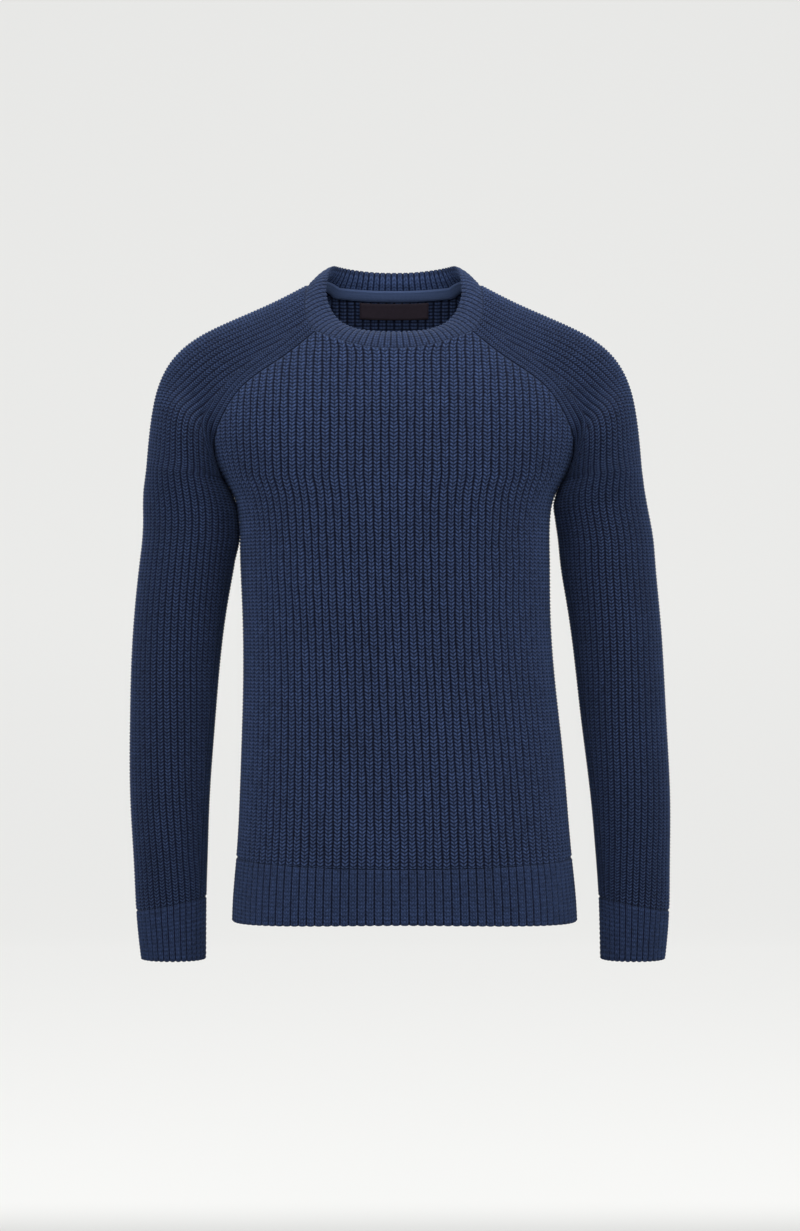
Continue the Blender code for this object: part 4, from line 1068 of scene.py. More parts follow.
def sleeve_at(face, ribs, stations):
    """Give points and normals of the sleeve's form at rib numbers and stations."""
    share = ribs / np.interp(stations, *RIB_TABLES[face])
    return sleeve_grids[face].at(stations, share)


def half_sleeve_grid(face):
    """Give the outer points of half a sleeve: long ribs, then the ribs along its seams."""
    long_ribs = np.arange(0, (HALF_SLEEVE_RIBS - EDGE_RIBS) * BODY_SUBCOLUMNS + 1) / BODY_SUBCOLUMNS
    band = np.arange(1, EDGE_RIBS * BODY_SUBCOLUMNS + 1) / BODY_SUBCOLUMNS
    end = CUFF_SEAM_RUN - SEAM_GAP / 2
    count = int(np.ceil(end / SLEEVE_COURSE * 2)) + 3
    courses = np.arange(count)[:, None] * 0.5
    tie = 2 * ARM_RISE * 0.5 * SLEEVE_COURSE

    def station(offset):
        run = np.clip(courses * SLEEVE_COURSE - offset, 0, end)
        return run, np.interp(run, sleeve_run, frame_stations)

    first_run, first_station = station(tie)
    first_limit = np.interp(first_station, *RIB_TABLES[face]) - EDGE_RIBS
    run, at = station(2 * ARM_RISE * off_crest(long_ribs) * SLEEVE_COURSE)
    limit = np.interp(at, *RIB_TABLES[face]) - EDGE_RIBS
    past = long_ribs[None, :] >= limit
    ribs = np.where(past, first_limit, long_ribs)
    at = np.where(past, first_station, at)
    run = np.where(past, first_run, run)
    near_band = np.where(past, 0.0, np.clip((limit - long_ribs) / BAND_FADE_RIBS, 0, 1))
    band_run, band_at = station(2 * ARM_RISE * off_crest(band + 0.5) * SLEEVE_COURSE)
    band_ribs = np.interp(band_at, *RIB_TABLES[face]) - EDGE_RIBS + band
    shown = np.concatenate((np.where(past, long_ribs[-1] + 0 * limit, long_ribs + 0 * limit),
                            np.broadcast_to(long_ribs[-1] + band, band_ribs.shape)), axis=1)
    ribs = np.concatenate((ribs, band_ribs), axis=1)
    at = np.concatenate((at, band_at), axis=1)
    run = np.concatenate((run, band_run), axis=1)
    near_band = np.concatenate((near_band, np.ones_like(band_run)), axis=1)
    points, normals = sleeve_at(face, ribs, at)
    total = np.interp(at, *RIB_TABLES[face])
    to_seam = (total - ribs) * SLEEVE_RIB_PITCH
    last = sleeve_points(face, total[:, -1:], at[:, -1:], np.zeros_like(at[:, -1:]))
    shift = np.where(at[:, -1:, None] <= 1, last - points[:, -1:], 0.0)
    weight = 1 - smooth_step((total - ribs) / SEAM_PULL_RIBS)
    points = points + shift * weight[..., None]
    neck_line = sleeve_points(face, ribs[0], at[0], np.zeros(ribs.shape[1]))
    points = points + (neck_line - points[0]) * (1 - smooth_step(run / TAPE_DEPTH))[..., None]
    beside = np.where(at < 1.0, to_seam, 1.0)
    to_edge = np.minimum(np.minimum(run, end - run), beside)
    edge = smooth_step(to_edge / EDGE_FADE) * near_band
    courses_down = np.broadcast_to(-courses, ribs.shape)
    values = cloth_values(points, normals, shown, courses_down, edge, 1.0)
    return values, at, ribs / total


def knit_sleeve(name, mirror, creases):
    """Make a raglan sleeve, with three ribs that run along its seams beside them."""
    cloth = Cloth()
    cuff_station = np.interp(CUFF_SEAM_RUN - SEAM_GAP / 2, sleeve_run, frame_stations)
    inner_cap = np.linspace(0, 1, INNER_CAP_ROWS)
    inner_tube = np.linspace(1, cuff_station, INNER_TUBE_ROWS)
    for face in (FRONT, BACK):
        values, at, share = half_sleeve_grid(face)
        cloth.grid(values)
        inner = []
        shares = np.linspace(0, 1, INNER_SLEEVE_COLUMNS)
        for levels in (inner_cap, inner_tube):
            total = np.interp(levels, *RIB_TABLES[face])
            ribs = total[:, None] * shares
            depth = np.full(ribs.shape, WALL)
            points = sleeve_points(face, ribs, levels[:, None], depth)
            normals = sleeve_at(face, ribs, np.broadcast_to(levels[:, None], ribs.shape))[1]
            side = (1 - shares) * total[:, None]
            edge = smooth_step(np.minimum(side, CAP_FADE_RIBS * levels[:, None]) / SEAM_PULL_RIBS)
            inner.append(cloth_values(points, -normals, ribs + 0.5, 0.25, edge, 0.0))
            cloth.grid(inner[-1])
        on_hole = at[:, -1] <= 1
        top = np.concatenate((values[0], values[on_hole][1:, -1]))
        top_at = np.concatenate((share[0] - 1, at[on_hole, -1][1:]))
        inner_top = np.concatenate((inner[0][0], inner[0][1:, -1]))
        cloth.strip(top, inner_top, top_at, np.concatenate((shares - 1, inner_cap[1:])))
        cloth.strip(values[-1], inner[1][-1], share[-1], shares)
    reach = RIGHT_REACH if mirror else LEFT_REACH
    return make_cloth(name, cloth, sleeve_lean, mirror, creases, reach)


def knit_cuff(name, mirror):
    """Make a cuff rib."""
    cloth = Cloth()
    start, end = CUFF_SEAM_RUN + SEAM_GAP / 2, CUFF_EDGE_RUN
    for face in (FRONT, BACK):
        ribs = np.linspace(0, HALF_CUFF_RIBS, int(HALF_CUFF_RIBS * WALE_SUBCOLUMNS) + 1)
        stop = end - scallop(ribs)
        grids = []
        for side, step, depth in ((1.0, 0.5, 0.0), (-1.0, INNER_EDGE_STEP, WALL)):
            count = int(np.ceil((end - start) / CUFF_COURSE / step)) + 3
            courses = np.arange(count)[:, None] * step
            rise = wale_rise(ribs, CUFF_COURSE) if side > 0 else 0.0
            run = np.clip(start + courses * CUFF_COURSE - rise, start, stop)
            if side < 0:
                run[0], run[-1] = start, stop
            at = np.interp(run, sleeve_run, frame_stations)
            shape_ribs = np.broadcast_to(ribs, at.shape)
            points, normals = sleeve_at(face, shape_ribs, at)
            points = points - normals * depth
            to_edge = (stop - run) * 2 + CAST_OFF_RELIEF * EDGE_FADE
            edge = smooth_step(np.minimum(run - start, to_edge) / EDGE_FADE)
            grids.append(cloth.face(side, points, normals, ribs, -courses, edge))
        for row in (0, -1):
            cloth.strip(grids[0][row], grids[1][row], ribs, ribs)
    return make_cloth(name, cloth, sleeve_lean, mirror, ())


def knit_collar(name):
    """Make the folded collar, ribbed on both faces."""
    ribs = np.linspace(0, COLLAR_RIBS / 2, COLLAR_RIBS // 2 * BODY_SUBCOLUMNS + 1)
    share = ribs / ribs[-1]
    seam = neck_seam.at(share)[0]
    edge = between_steps(share, neck_share, collar_edge_points)
    up = edge - seam
    outward = np.cross(np.gradient(seam, axis=0), up)
    outward[[0, -1], 0] = 0
    outward = unit(outward)
    zero = np.zeros(len(ribs))
    section = np.array([seam_side(neck_seam, share, 1, zero)]
                       + [seam + rise * up + out * outward for _, rise, out in COLLAR_SECTION]
                       + [seam_side(neck_seam, share, 1, zero + COLLAR_THICKNESS)])
    places = [0.0] + [place for place, _, _ in COLLAR_SECTION] + [1.0]
    courses = np.arange(-2, 2 * COLLAR_COURSES + 1)[:, None] * 0.5
    rows = np.clip((courses + 2 * ARM_RISE * off_crest(ribs)) / COLLAR_COURSES, 0, 1)
    even = np.linspace(0, 1, len(rows))
    half, straight = np.empty(rows.shape + (3,)), np.empty(rows.shape + (3,))
    for column in range(len(ribs)):
        path = spline(np.column_stack((places, section[:, column])))
        half[:, column], straight[:, column] = path(rows[:, column]), path(even)
    around = np.gradient(straight, axis=1)
    around[:, [0, -1], 1:] = 0
    facing = unit(np.cross(around, np.gradient(straight, axis=0)))
    normals = unit(np.stack([between_steps(rows[:, column], even, facing[:, column])
                             for column in range(len(ribs))], axis=1))
    edge_share = smooth_step(np.minimum(rows, 1 - rows) / COLLAR_EDGE_FADE)
    values = cloth_values(half, normals, ribs, courses, edge_share, 1.0)
    cloth = Cloth()
    mirrored = values.copy()
    mirrored[..., 0] *= -1
    mirrored[..., 3] *= -1
    for part in (values, mirrored):
        cloth.grid(part)
        cloth.grid(np.stack((part[0], part[-1])))
    return make_cloth(name, cloth, None, False, ())


def knit_tape(name):
    """Make the jersey tape that covers the back neck seam, on the inner walls and collar."""
    cloth = Cloth()
    back_ribs = np.arange(0, NECK_RIBS_BACK, TAPE_STEP)
    sleeve_ribs = np.arange(CAP_RIBS_BACK - TAPE_STEP, TAPE_END_RIBS - TAPE_STEP / 2, -TAPE_STEP)
    side_share, corner_share = neck_share[list(NECK_CORNERS[2:4])]
    share = np.concatenate((np.interp(back_ribs, (0, NECK_RIBS_BACK), (1, corner_share)), [corner_share],
                            np.interp(sleeve_ribs, (0, CAP_RIBS_BACK), (side_share, corner_share))))
    base = neck_seam.at(share)[0]
    up = between_steps(share, neck_share, collar_edge_points) - base
    inward = unit(np.cross(np.gradient(base, axis=0), up))
    inward[0, 0] = 0
    columns = np.arange(len(share))
    columns = np.concatenate((-columns[:0:-1], columns)) * TAPE_STEP
    rows = np.linspace(0, 1, TAPE_ROWS)
    edge = np.minimum(np.arange(TAPE_ROWS), np.arange(TAPE_ROWS)[::-1])[:, None]
    edge = np.minimum(edge, 0.1 + np.minimum(columns - columns[0], columns[-1] - columns))
    grids = []
    for lift, side in ((SEAM_GAP, 1.0), (SEAM_GAP + TRIM_THICKNESS, -1.0)):
        top, low = tape_edges(WALL + lift, back_ribs, sleeve_ribs)
        middle = tape_edges(COLLAR_THICKNESS + lift, back_ribs, sleeve_ribs)[0]
        upper = base + TAPE_ON_COLLAR * up + inward * (COLLAR_THICKNESS + lift)
        lines = np.stack((upper, middle, top + TAPE_ON_WALL * (low - top)))
        path = spline(np.column_stack(((0.0, TAPE_SEAM_PLACE, 1.0), lines.reshape(3, -1))))
        half = path(rows).reshape(TAPE_ROWS, len(share), 3)
        whole = np.concatenate((half[:, :0:-1] * np.array((-1.0, 1.0, 1.0)), half), axis=1)
        out = side * unit(np.cross(np.gradient(whole, axis=0), np.gradient(whole, axis=1)))
        courses = rows[:, None] * TAPE_COURSES
        grids.append(cloth_values(whole, out, columns, courses, np.clip(edge, 0, 1), 0.0))
        cloth.grid(grids[-1])
    cloth.close(*grids, columns, False)
    return make_cloth(name, cloth, None, False, ())


def knit_trim(name, half_ribs, from_top, to_top, steps):
    """Make a strip that lies on the back's inner wall, between two depths below its top."""
    cloth = Cloth()
    ribs = np.linspace(-half_ribs, half_ribs, int(2 * half_ribs * LABEL_SUBCOLUMNS) + 1)
    grids = []
    for depth, side in ((WALL + SEAM_GAP, 1.0), (WALL + SEAM_GAP + TRIM_THICKNESS, -1.0)):
        depths = np.full(len(ribs), depth)
        lines = []
        for below in (0.0, TAPE_DEPTH, LABEL_DEPTH):
            z = panel_top(BACK, np.abs(ribs)) - below
            points, normals = body_points(BACK, ribs, z)
            lines.append(points - normals * depth)
        lines[0] = top_edge(BACK, ribs, depth)
        below = np.linspace(from_top, to_top, steps)
        path = spline(np.column_stack(((0.0, TAPE_DEPTH, LABEL_DEPTH), np.array(lines).reshape(3, -1))))
        points = path(below).reshape(steps, len(ribs), 3)
        out = side * np.broadcast_to(normals, points.shape)
        flat = np.minimum(np.arange(steps), np.arange(steps)[::-1])[:, None]
        ends = np.minimum(np.arange(len(ribs)), np.arange(len(ribs))[::-1])
        edge = np.minimum(np.minimum(flat, ends), 1.0)
        grids.append(cloth_values(points, out, ribs, below[:, None] / LABEL_COURSE, edge, 0.0))
        cloth.grid(grids[-1])
    cloth.close(*grids, ribs, False)
    return make_cloth(name, cloth, None, False, ())


def seam_paths():
    """Give the lines of the linked seams, a little below the outer face."""
    paths = []
    for seam, share in ((neck_seam, np.linspace(0, 1, NECK_LINE_SAMPLES)),
                        (hole_seam, np.linspace(0, 2, HOLE_LINE_SAMPLES))):
        points, normals, _ = seam.at(share)
        paths.append((points - normals * SEAM_DEPTH, True, None))
    lowest = HEM_EDGE_Z - HEM_EDGE_DROP_AT_SIDES + SEAM_DEPTH
    z = np.linspace(UNDERARM_Z, lowest, SIDE_LINE_SAMPLES)
    points, normals = body_points(FRONT, np.full(len(z), HALF_PANEL_RIBS), z)
    points[:, 0] -= SEAM_DEPTH
    paths.append((points, True, body_lean))
    ribs = np.linspace(-HALF_PANEL_RIBS, HALF_PANEL_RIBS, HEM_LINE_SAMPLES)
    for face in (FRONT, BACK):
        points, normals = body_points(face, ribs, hem_seam_z(ribs))
        paths.append((points - normals * SEAM_DEPTH, False, body_lean))
    ribs = np.linspace(0, HALF_CUFF_RIBS, CUFF_LINE_SAMPLES)
    for face in (FRONT, BACK):
        points, normals = sleeve_at(face, ribs, np.full(len(ribs), 2.0))
        paths.append((points - normals * SEAM_DEPTH, True, sleeve_lean))
    return paths


def link_seams(name, yarn):
    """Make the linking stitches that join the pieces, along every seam."""
    corners, edges = [], []
    for points, mirrored, lean in seam_paths():
        sides = (1.0, -1.0) if mirrored else (1.0,)
        for side in sides:
            line = points * np.array((side, 1.0, 1.0))
            if lean is not None:
                line[:, 0] += lean(line[:, 2])[:, 0]
            first = len(corners)
            corners.extend(line.tolist())
            edges.extend((first + i, first + i + 1) for i in range(len(line) - 1))
    mesh = bpy.data.meshes.new(name)
    mesh.from_pydata(corners, edges, [])
    made = bpy.data.objects.new(name, mesh)
    bpy.context.scene.collection.objects.link(made)
    values = {"Spacing": LINK_SPACING, "Radius": LINK_RADIUS, "Yarn": yarn}
    apply_tree(made, tree_named(linking_tree, "Seam linking"), values)
    return made


class Value:
    """A number or colour in a node tree, with Python's arithmetic for numbers."""

    def __init__(self, tree, socket):
        self.tree = tree
        self.socket = socket

    def maths(self, operation, *terms):
        """Add a Math node of this value and others."""
        node = self.tree.nodes.new("ShaderNodeMath")
        node.operation = operation
        for place, term in zip(node.inputs, terms):
            if isinstance(term, Value):
                self.tree.links.new(term.socket, place)
            else:
                place.default_value = term
        return Value(self.tree, node.outputs[0])

    def __add__(self, other):
        """Give the sum with a value on the right."""
        return self.maths("ADD", self, other)

    def __radd__(self, other):
        """Give the sum with a number on the left."""
        return self.maths("ADD", other, self)

    def __sub__(self, other):
        """Give this less a value."""
        return self.maths("SUBTRACT", self, other)

    def __rsub__(self, other):
        """Give a number less this."""
        return self.maths("SUBTRACT", other, self)

    def __mul__(self, other):
        """Give the product with a value on the right."""
        return self.maths("MULTIPLY", self, other)

    def __rmul__(self, other):
        """Give the product with a number on the left."""
        return self.maths("MULTIPLY", other, self)

    def __truediv__(self, other):
        """Give this over a value."""
        return self.maths("DIVIDE", self, other)

    def __abs__(self):
        """Give the size without the sign."""
        return self.maths("ABSOLUTE", self)

    def floor(self):
        """Give the whole number at or below this."""
        return self.maths("FLOOR", self)

    def cosine(self):
        """Give the cosine."""
        return self.maths("COSINE", self)

    def sine(self):
        """Give the sine."""
        return self.maths("SINE", self)

    def above(self, other):
        """Give this, and no less than a value."""
        return self.maths("MAXIMUM", self, other)

    def below(self, other):
        """Give this, and no more than a value."""
        return self.maths("MINIMUM", self, other)


def soft(value):
    """Give a soft rise from 0 to 1 of a value in a node tree."""
    x = value.above(0.0).below(1.0)
    return x * x * (3.0 - 2.0 * x)


class Tree:
    """Adds nodes to a node tree."""

    def __init__(self, tree):
        self.tree = tree

    def node(self, kind, settings=(), inputs=(), output=None):
        """Add a node by its type, settings and inputs, and give one of its outputs."""
        node = self.tree.nodes.new(kind)
        for name, value in dict(settings).items():
            setattr(node, name, value)
        for name, value in dict(inputs).items():
            if isinstance(name, int):
                place = node.inputs[name]
            else:
                place = next(s for s in node.inputs if s.name == name and s.enabled)
            if isinstance(value, Value):
                self.tree.links.new(value.socket, place)
            else:
                place.default_value = value
        sockets = [s for s in node.outputs if s.enabled]
        if not sockets:
            return node
        return Value(self.tree, next((s for s in sockets if s.name == output), sockets[0]))

    def noise(self, place, scale, detail):
        """Give a noise texture's value at a place."""
        return self.node("ShaderNodeTexNoise", (), {"Vector": place, "Scale": scale, "Detail": detail})

    def parts(self, vector):
        """Give the three numbers of a vector."""
        node = self.tree.nodes.new("ShaderNodeSeparateXYZ")
        self.tree.links.new(vector.socket, node.inputs[0])
        return [Value(self.tree, socket) for socket in node.outputs]

    def mix(self, factor, first, second, blend="MIX"):
        """Mix two colours."""
        settings = {"data_type": "RGBA", "blend_type": blend}
        inputs = {"Factor": factor, "A": first, "B": second}
        return self.node("ShaderNodeMix", settings, inputs, "Result")


def new_group(name, inlet, sizes, outlet):
    """Make a geometry tree with named inputs, and give it with their values."""
    group = bpy.data.node_groups.new(name, "GeometryNodeTree")
    sockets = [(inlet, "Geometry")] + [(size, "Float") for size in sizes] + [("Yarn", "Material")]
    for title, kind in sockets:
        group.interface.new_socket(title, in_out="INPUT", socket_type="NodeSocket" + kind)
    group.interface.new_socket(outlet, in_out="OUTPUT", socket_type="NodeSocketGeometry")
    given = group.nodes.new("NodeGroupInput").outputs
    return Tree(group), {socket.name: Value(group, socket) for socket in given if socket.name}


def finish_group(tree, shape, yarn):
    """End a geometry tree with real instances and their yarn, and give its group."""
    real = tree.node("GeometryNodeRealizeInstances", (), {"Geometry": shape})
    done = tree.node("GeometryNodeSetMaterial", (), {"Geometry": real, "Material": yarn})
    outlet = tree.tree.nodes.new("NodeGroupOutput")
    tree.tree.links.new(done.socket, outlet.inputs[0])
    return tree.tree


WALE_DIP_WIDTH = 0.1
GROOVE_FLATTENING = 0.65
RELIEF_INPUTS = ("Rib depth", "Groove start", "Wale centre", "Wale dip", "Stitch height", "Edge dip")


def relief_tree():
    """Make the tree that raises ribs and stitches on a wall by its knitting numbers."""
    tree, given = new_group("Knit relief", "Wall", RELIEF_INPUTS, "Cloth")
    vector = {"data_type": "FLOAT_VECTOR"}
    knit = tree.node("GeometryNodeInputNamedAttribute", vector, {"Name": "knit"}, "Attribute")
    outward = tree.node("GeometryNodeInputNamedAttribute", vector, {"Name": "outward"}, "Attribute")
    stitched = tree.node("GeometryNodeInputNamedAttribute", {"data_type": "FLOAT"},
                         {"Name": "stitches"}, "Attribute")
    ribs, courses, edge = tree.parts(knit)
    off = abs(ribs - (ribs + 0.5).floor())
    groove = soft((off - given["Groove start"]) / (0.5 - given["Groove start"]))
    from_wale = abs(off - given["Wale centre"])
    dip = (1.0 - from_wale / WALE_DIP_WIDTH).above(0.0) * given["Wale dip"]
    bead = (courses * (2 * np.pi)).cosine() * stitched
    stitch = bead * given["Stitch height"] * (1.0 - GROOVE_FLATTENING * groove)
    height = stitch - groove * given["Rib depth"] - dip * stitched
    lift = edge * height - (1.0 - edge) * given["Edge dip"]
    offset = tree.node("ShaderNodeVectorMath", {"operation": "SCALE"},
                       {"Vector": outward, "Scale": lift})
    moved = tree.node("GeometryNodeSetPosition", (), {"Geometry": given["Wall"], "Offset": offset})
    return finish_group(tree, moved, given["Yarn"])


def linking_tree():
    """Make the tree that lays a row of linking stitches along lines."""
    tree, given = new_group("Seam linking", "Lines", ("Spacing", "Radius"), "Stitches")
    line = tree.node("GeometryNodeMeshToCurve", (), {"Mesh": given["Lines"]})
    even = tree.node("GeometryNodeResampleCurve", {"mode": "LENGTH"},
                     {"Curve": line, "Length": given["Spacing"]})
    tangent = tree.node("GeometryNodeInputTangent")
    turn = tree.node("FunctionNodeAlignRotationToVector", {"axis": "Z"}, {"Vector": tangent})
    lean = tree.node("FunctionNodeRotateRotation", {"rotation_space": "LOCAL"},
                     {"Rotation": turn, "Rotate By": LINK_LEAN})
    bead = tree.node("GeometryNodeMeshUVSphere", (),
                     {"Segments": 6, "Rings": 4, "Radius": given["Radius"]})
    long_bead = tree.node("GeometryNodeTransform", (), {"Geometry": bead, "Scale": LINK_SHAPE})
    row = tree.node("GeometryNodeInstanceOnPoints", (),
                    {"Points": even, "Instance": long_bead, "Rotation": lean})
    round_line = tree.node("GeometryNodeCurvePrimitiveCircle", {"mode": "RADIUS"},
                           {"Resolution": 6, "Radius": given["Radius"] * LINK_CORE})
    core = tree.node("GeometryNodeCurveToMesh", (),
                     {"Curve": even, "Profile Curve": round_line, "Fill Caps": True})
    both = tree.node("GeometryNodeJoinGeometry", (), {"Geometry": core})
    tree.tree.links.new(row.socket, both.socket.node.inputs[0])
    return finish_group(tree, both, given["Yarn"])


def apply_tree(piece, group, values):
    """Run a geometry tree on an object and keep its result as a plain mesh."""
    modifier = piece.modifiers.new("Knitting", "NODES")
    modifier.node_group = group
    for item in group.interface.items_tree:
        if item.in_out == "INPUT" and item.name in values:
            modifier[item.identifier] = values[item.name]
    bpy.context.view_layer.update()
    depsgraph = bpy.context.evaluated_depsgraph_get()
    mesh = bpy.data.meshes.new_from_object(piece.evaluated_get(depsgraph), depsgraph=depsgraph,
                                           preserve_all_data_layers=True)
    piece.modifiers.clear()
    old = piece.data
    piece.data = mesh
    if isinstance(old, bpy.types.Mesh):
        bpy.data.meshes.remove(old)
    mesh.name = piece.name
    mesh.shade_smooth()


def new_material(name):
    """Make a material, and give it with its tree and its Object coordinates."""
    material = bpy.data.materials.new(name)
    material.use_nodes = True
    tree = Tree(material.node_tree)
    return material, tree, tree.node("ShaderNodeTexCoord", (), (), "Object")


# Every cloth's shader: values of its inputs, and how far its bump reaches in metres
CLOTH_SHADER = (("Specular IOR Level", 0.12), ("Sheen Weight", 0.10), ("Sheen Roughness", 0.5))
BUMP_DISTANCE = 0.0006


def finish_material(tree, colour, level, roughness, height, bump, sheen_tint):
    """Join a cloth's colour, lightened by a level, its roughness and bump to its shader."""
    tint = tree.node("ShaderNodeCombineColor", (), {0: level, 1: level, 2: level})
    shown = tree.mix(1.0, colour, tint, "MULTIPLY")
    shader = tree.tree.nodes["Principled BSDF"]
    link = tree.tree.links.new
    link(shown.socket, shader.inputs["Base Color"])
    link(roughness.socket, shader.inputs["Roughness"])
    for name, value in CLOTH_SHADER + (("Sheen Tint", sheen_tint),):
        shader.inputs[name].default_value = value
    normal = tree.node("ShaderNodeBump", (), {"Strength": bump, "Distance": BUMP_DISTANCE,
                                              "Height": height})
    link(normal.socket, shader.inputs["Normal"])


# Yarn noises: size by metre, detail
YARN_FLECK = (700.0, 2.0)
YARN_LOOP = (270.0, 1.0)
YARN_BATCH = (16.0, 3.0)
# How much the noises change the yarn's lightness and lift its surface
LOOP_LIGHT, FLECK_LIGHT, BATCH_LIGHT, FUZZ_LIGHT = 1.1, 0.7, 0.4, 0.5
STRAND_LIFT, FUZZ_LIFT, FLECK_LIFT = 1.4, 0.5, 0.3
YARN_ROUGHNESS, YARN_FUZZ_ROUGHNESS = 0.78, 0.18
YARN_BUMP = 0.6
YARN_SHEEN = (0.40, 0.55, 0.95, 1.0)


def yarn_material(name, colour, deep, wale_centre, line, groove_start, gap_shade, inner=0.0):
    """Make a heathered cotton yarn: strands in V shapes with painted shade between them, plies and fuzz.

    The line between two strands lies at the wale's centre. The space between strands is darkened
    towards the deep colour by a share, as painted shade. On the collar, the inner face is lit up
    over the outer one by a share, as painted light.
    """
    material, tree, place = new_material(name)
    knit = tree.node("ShaderNodeAttribute", {"attribute_name": "knit"}, (), "Vector")
    ribs, courses, _ = tree.parts(knit)
    fleck = tree.noise(place, *YARN_FLECK)
    loop = tree.noise(place, *YARN_LOOP)
    batch = tree.noise(place, *YARN_BATCH)
    fuzz = tree.noise(place, FUZZ_SCALE, 3.0)
    waver = (fleck - 0.5) * STRAND_WAVER
    off = abs(ribs + waver - (ribs + waver + 0.5).floor())
    strand = ((courses + waver) * (2 * np.pi)).cosine() * 0.5 + 0.5
    between = soft((line - abs(off - wale_centre)) / line)
    valley = soft((off - groove_start) / (VALLEY_END - groove_start))
    # Painted shade: lit darkens the yarn towards the deep colour between strands, on the line between
    # two strands and in the valleys between ribs.
    lit = (1.0 - gap_shade + gap_shade * strand) * (1.0 - LINE_SHADE * between) * (1.0 - VALLEY_SHADE * valley)
    light = tree.mix(lit, (*deep, 1.0), (*colour, 1.0))
    level = (loop - 0.5) * LOOP_LIGHT + (fleck - 0.5) * FLECK_LIGHT
    level = level + (batch - 0.5) * BATCH_LIGHT + (fuzz - 0.5) * FUZZ_LIGHT + 1.0
    # Painted light: the collar's inner courses are lit up by a share of inner, over its outer face.
    level = level * (soft((courses - COLLAR_COURSES / 2) * 0.5) * inner + 1.0)
    height = lit * STRAND_LIFT + fuzz * FUZZ_LIFT + fleck * FLECK_LIFT
    roughness = YARN_ROUGHNESS + YARN_FUZZ_ROUGHNESS * fuzz
    finish_material(tree, light, level, roughness, height, YARN_BUMP, YARN_SHEEN)
    return material


# Jersey: wales by rib, rows by course, slant of a stitch's arms, and what each one lightens
JERSEY_WALES = 6.0
JERSEY_ROWS = 2.0
JERSEY_SLANT = 1.6
JERSEY_LEVEL, WALE_LIGHT, ARM_LIGHT = 0.72, 0.20, 0.12
WALE_LIFT, ARM_LIFT, JERSEY_FUZZ_LIFT = 0.6, 0.3, 0.4
JERSEY_ROUGHNESS, JERSEY_FUZZ_ROUGHNESS = 0.82, 0.1
JERSEY_BUMP = 0.6
JERSEY_SHEEN = (0.45, 0.58, 0.95, 1.0)


def jersey_material(name, colour):
    """Make the tape's fine jersey: rows of small stitches."""
    material, tree, place = new_material(name)
    knit = tree.node("ShaderNodeAttribute", {"attribute_name": "knit"}, (), "Vector")
    ribs, courses, _ = tree.parts(knit)
    fuzz = tree.noise(place, FUZZ_SCALE, 3.0)
    wale = (ribs * (2 * np.pi) * JERSEY_WALES).cosine() * 0.5 + 0.5
    off = abs(ribs * JERSEY_WALES - (ribs * JERSEY_WALES + 0.5).floor())
    arm = ((courses * JERSEY_ROWS + off * JERSEY_SLANT) * (2 * np.pi)).cosine()
    level = JERSEY_LEVEL + WALE_LIGHT * wale + ARM_LIGHT * arm + (fuzz - 0.5) * FUZZ_LIGHT
    height = wale * WALE_LIFT + arm * ARM_LIFT + fuzz * JERSEY_FUZZ_LIFT
    roughness = JERSEY_ROUGHNESS + JERSEY_FUZZ_ROUGHNESS * fuzz
    finish_material(tree, (*colour, 1.0), level, roughness, height, JERSEY_BUMP, JERSEY_SHEEN)
    return material


# Satin: thread and warp spacing in metres, its wear, and what each one lightens
THREAD_SPACING = 0.0005
WARP_SPACING = 0.0009
SATIN_WEAR = (240.0, 3.0)
SATIN_LEVEL, THREAD_LIGHT, WARP_LIGHT, WEAR_LIGHT = 0.8, 0.25, 0.1, 0.5
THREAD_LIFT, WARP_LIFT = 0.5, 0.2
SATIN_ROUGHNESS, WEAR_ROUGHNESS = 0.42, 0.2
SATIN_BUMP = 0.35
SATIN_SHEEN = (0.8, 0.75, 0.8, 1.0)


def satin_material(name, colour):
    """Make the label's dark woven satin, blank, with fine crosswise threads."""
    material, tree, place = new_material(name)
    across, _, up = tree.parts(place)
    thread = (up * (2 * np.pi / THREAD_SPACING)).sine() * 0.5 + 0.5
    warp = (across * (2 * np.pi / WARP_SPACING)).sine() * 0.5 + 0.5
    wear = tree.noise(place, *SATIN_WEAR)
    level = SATIN_LEVEL + THREAD_LIGHT * thread + WARP_LIGHT * warp + (wear - 0.5) * WEAR_LIGHT
    height = thread * THREAD_LIFT + warp * WARP_LIFT
    roughness = SATIN_ROUGHNESS + WEAR_ROUGHNESS * wear
    finish_material(tree, (*colour, 1.0), level, roughness, height, SATIN_BUMP, SATIN_SHEEN)
    return material


class SweaterKnit(bpy.types.PropertyGroup):
    """Sizes of the ribs and the stitches."""

    rib_depth: FloatProperty(name="Rib depth", description="Depth of the grooves between body ribs",
                             default=0.0024, unit="LENGTH")
    hem_depth: FloatProperty(name="Hem rib depth", description="Depth of the hem's and cuffs' grooves",
                             default=0.0018, unit="LENGTH")
    collar_depth: FloatProperty(name="Collar rib depth", description="Depth of the collar's grooves",
                                default=0.0013, unit="LENGTH")
    stitch_height: FloatProperty(name="Stitch height", description="Half the relief of each stitch",
                                 default=0.0010, unit="LENGTH")
    edge_dip: FloatProperty(name="Seam dip", description="How far the cloth dips at its seams",
                            default=0.0010, unit="LENGTH")


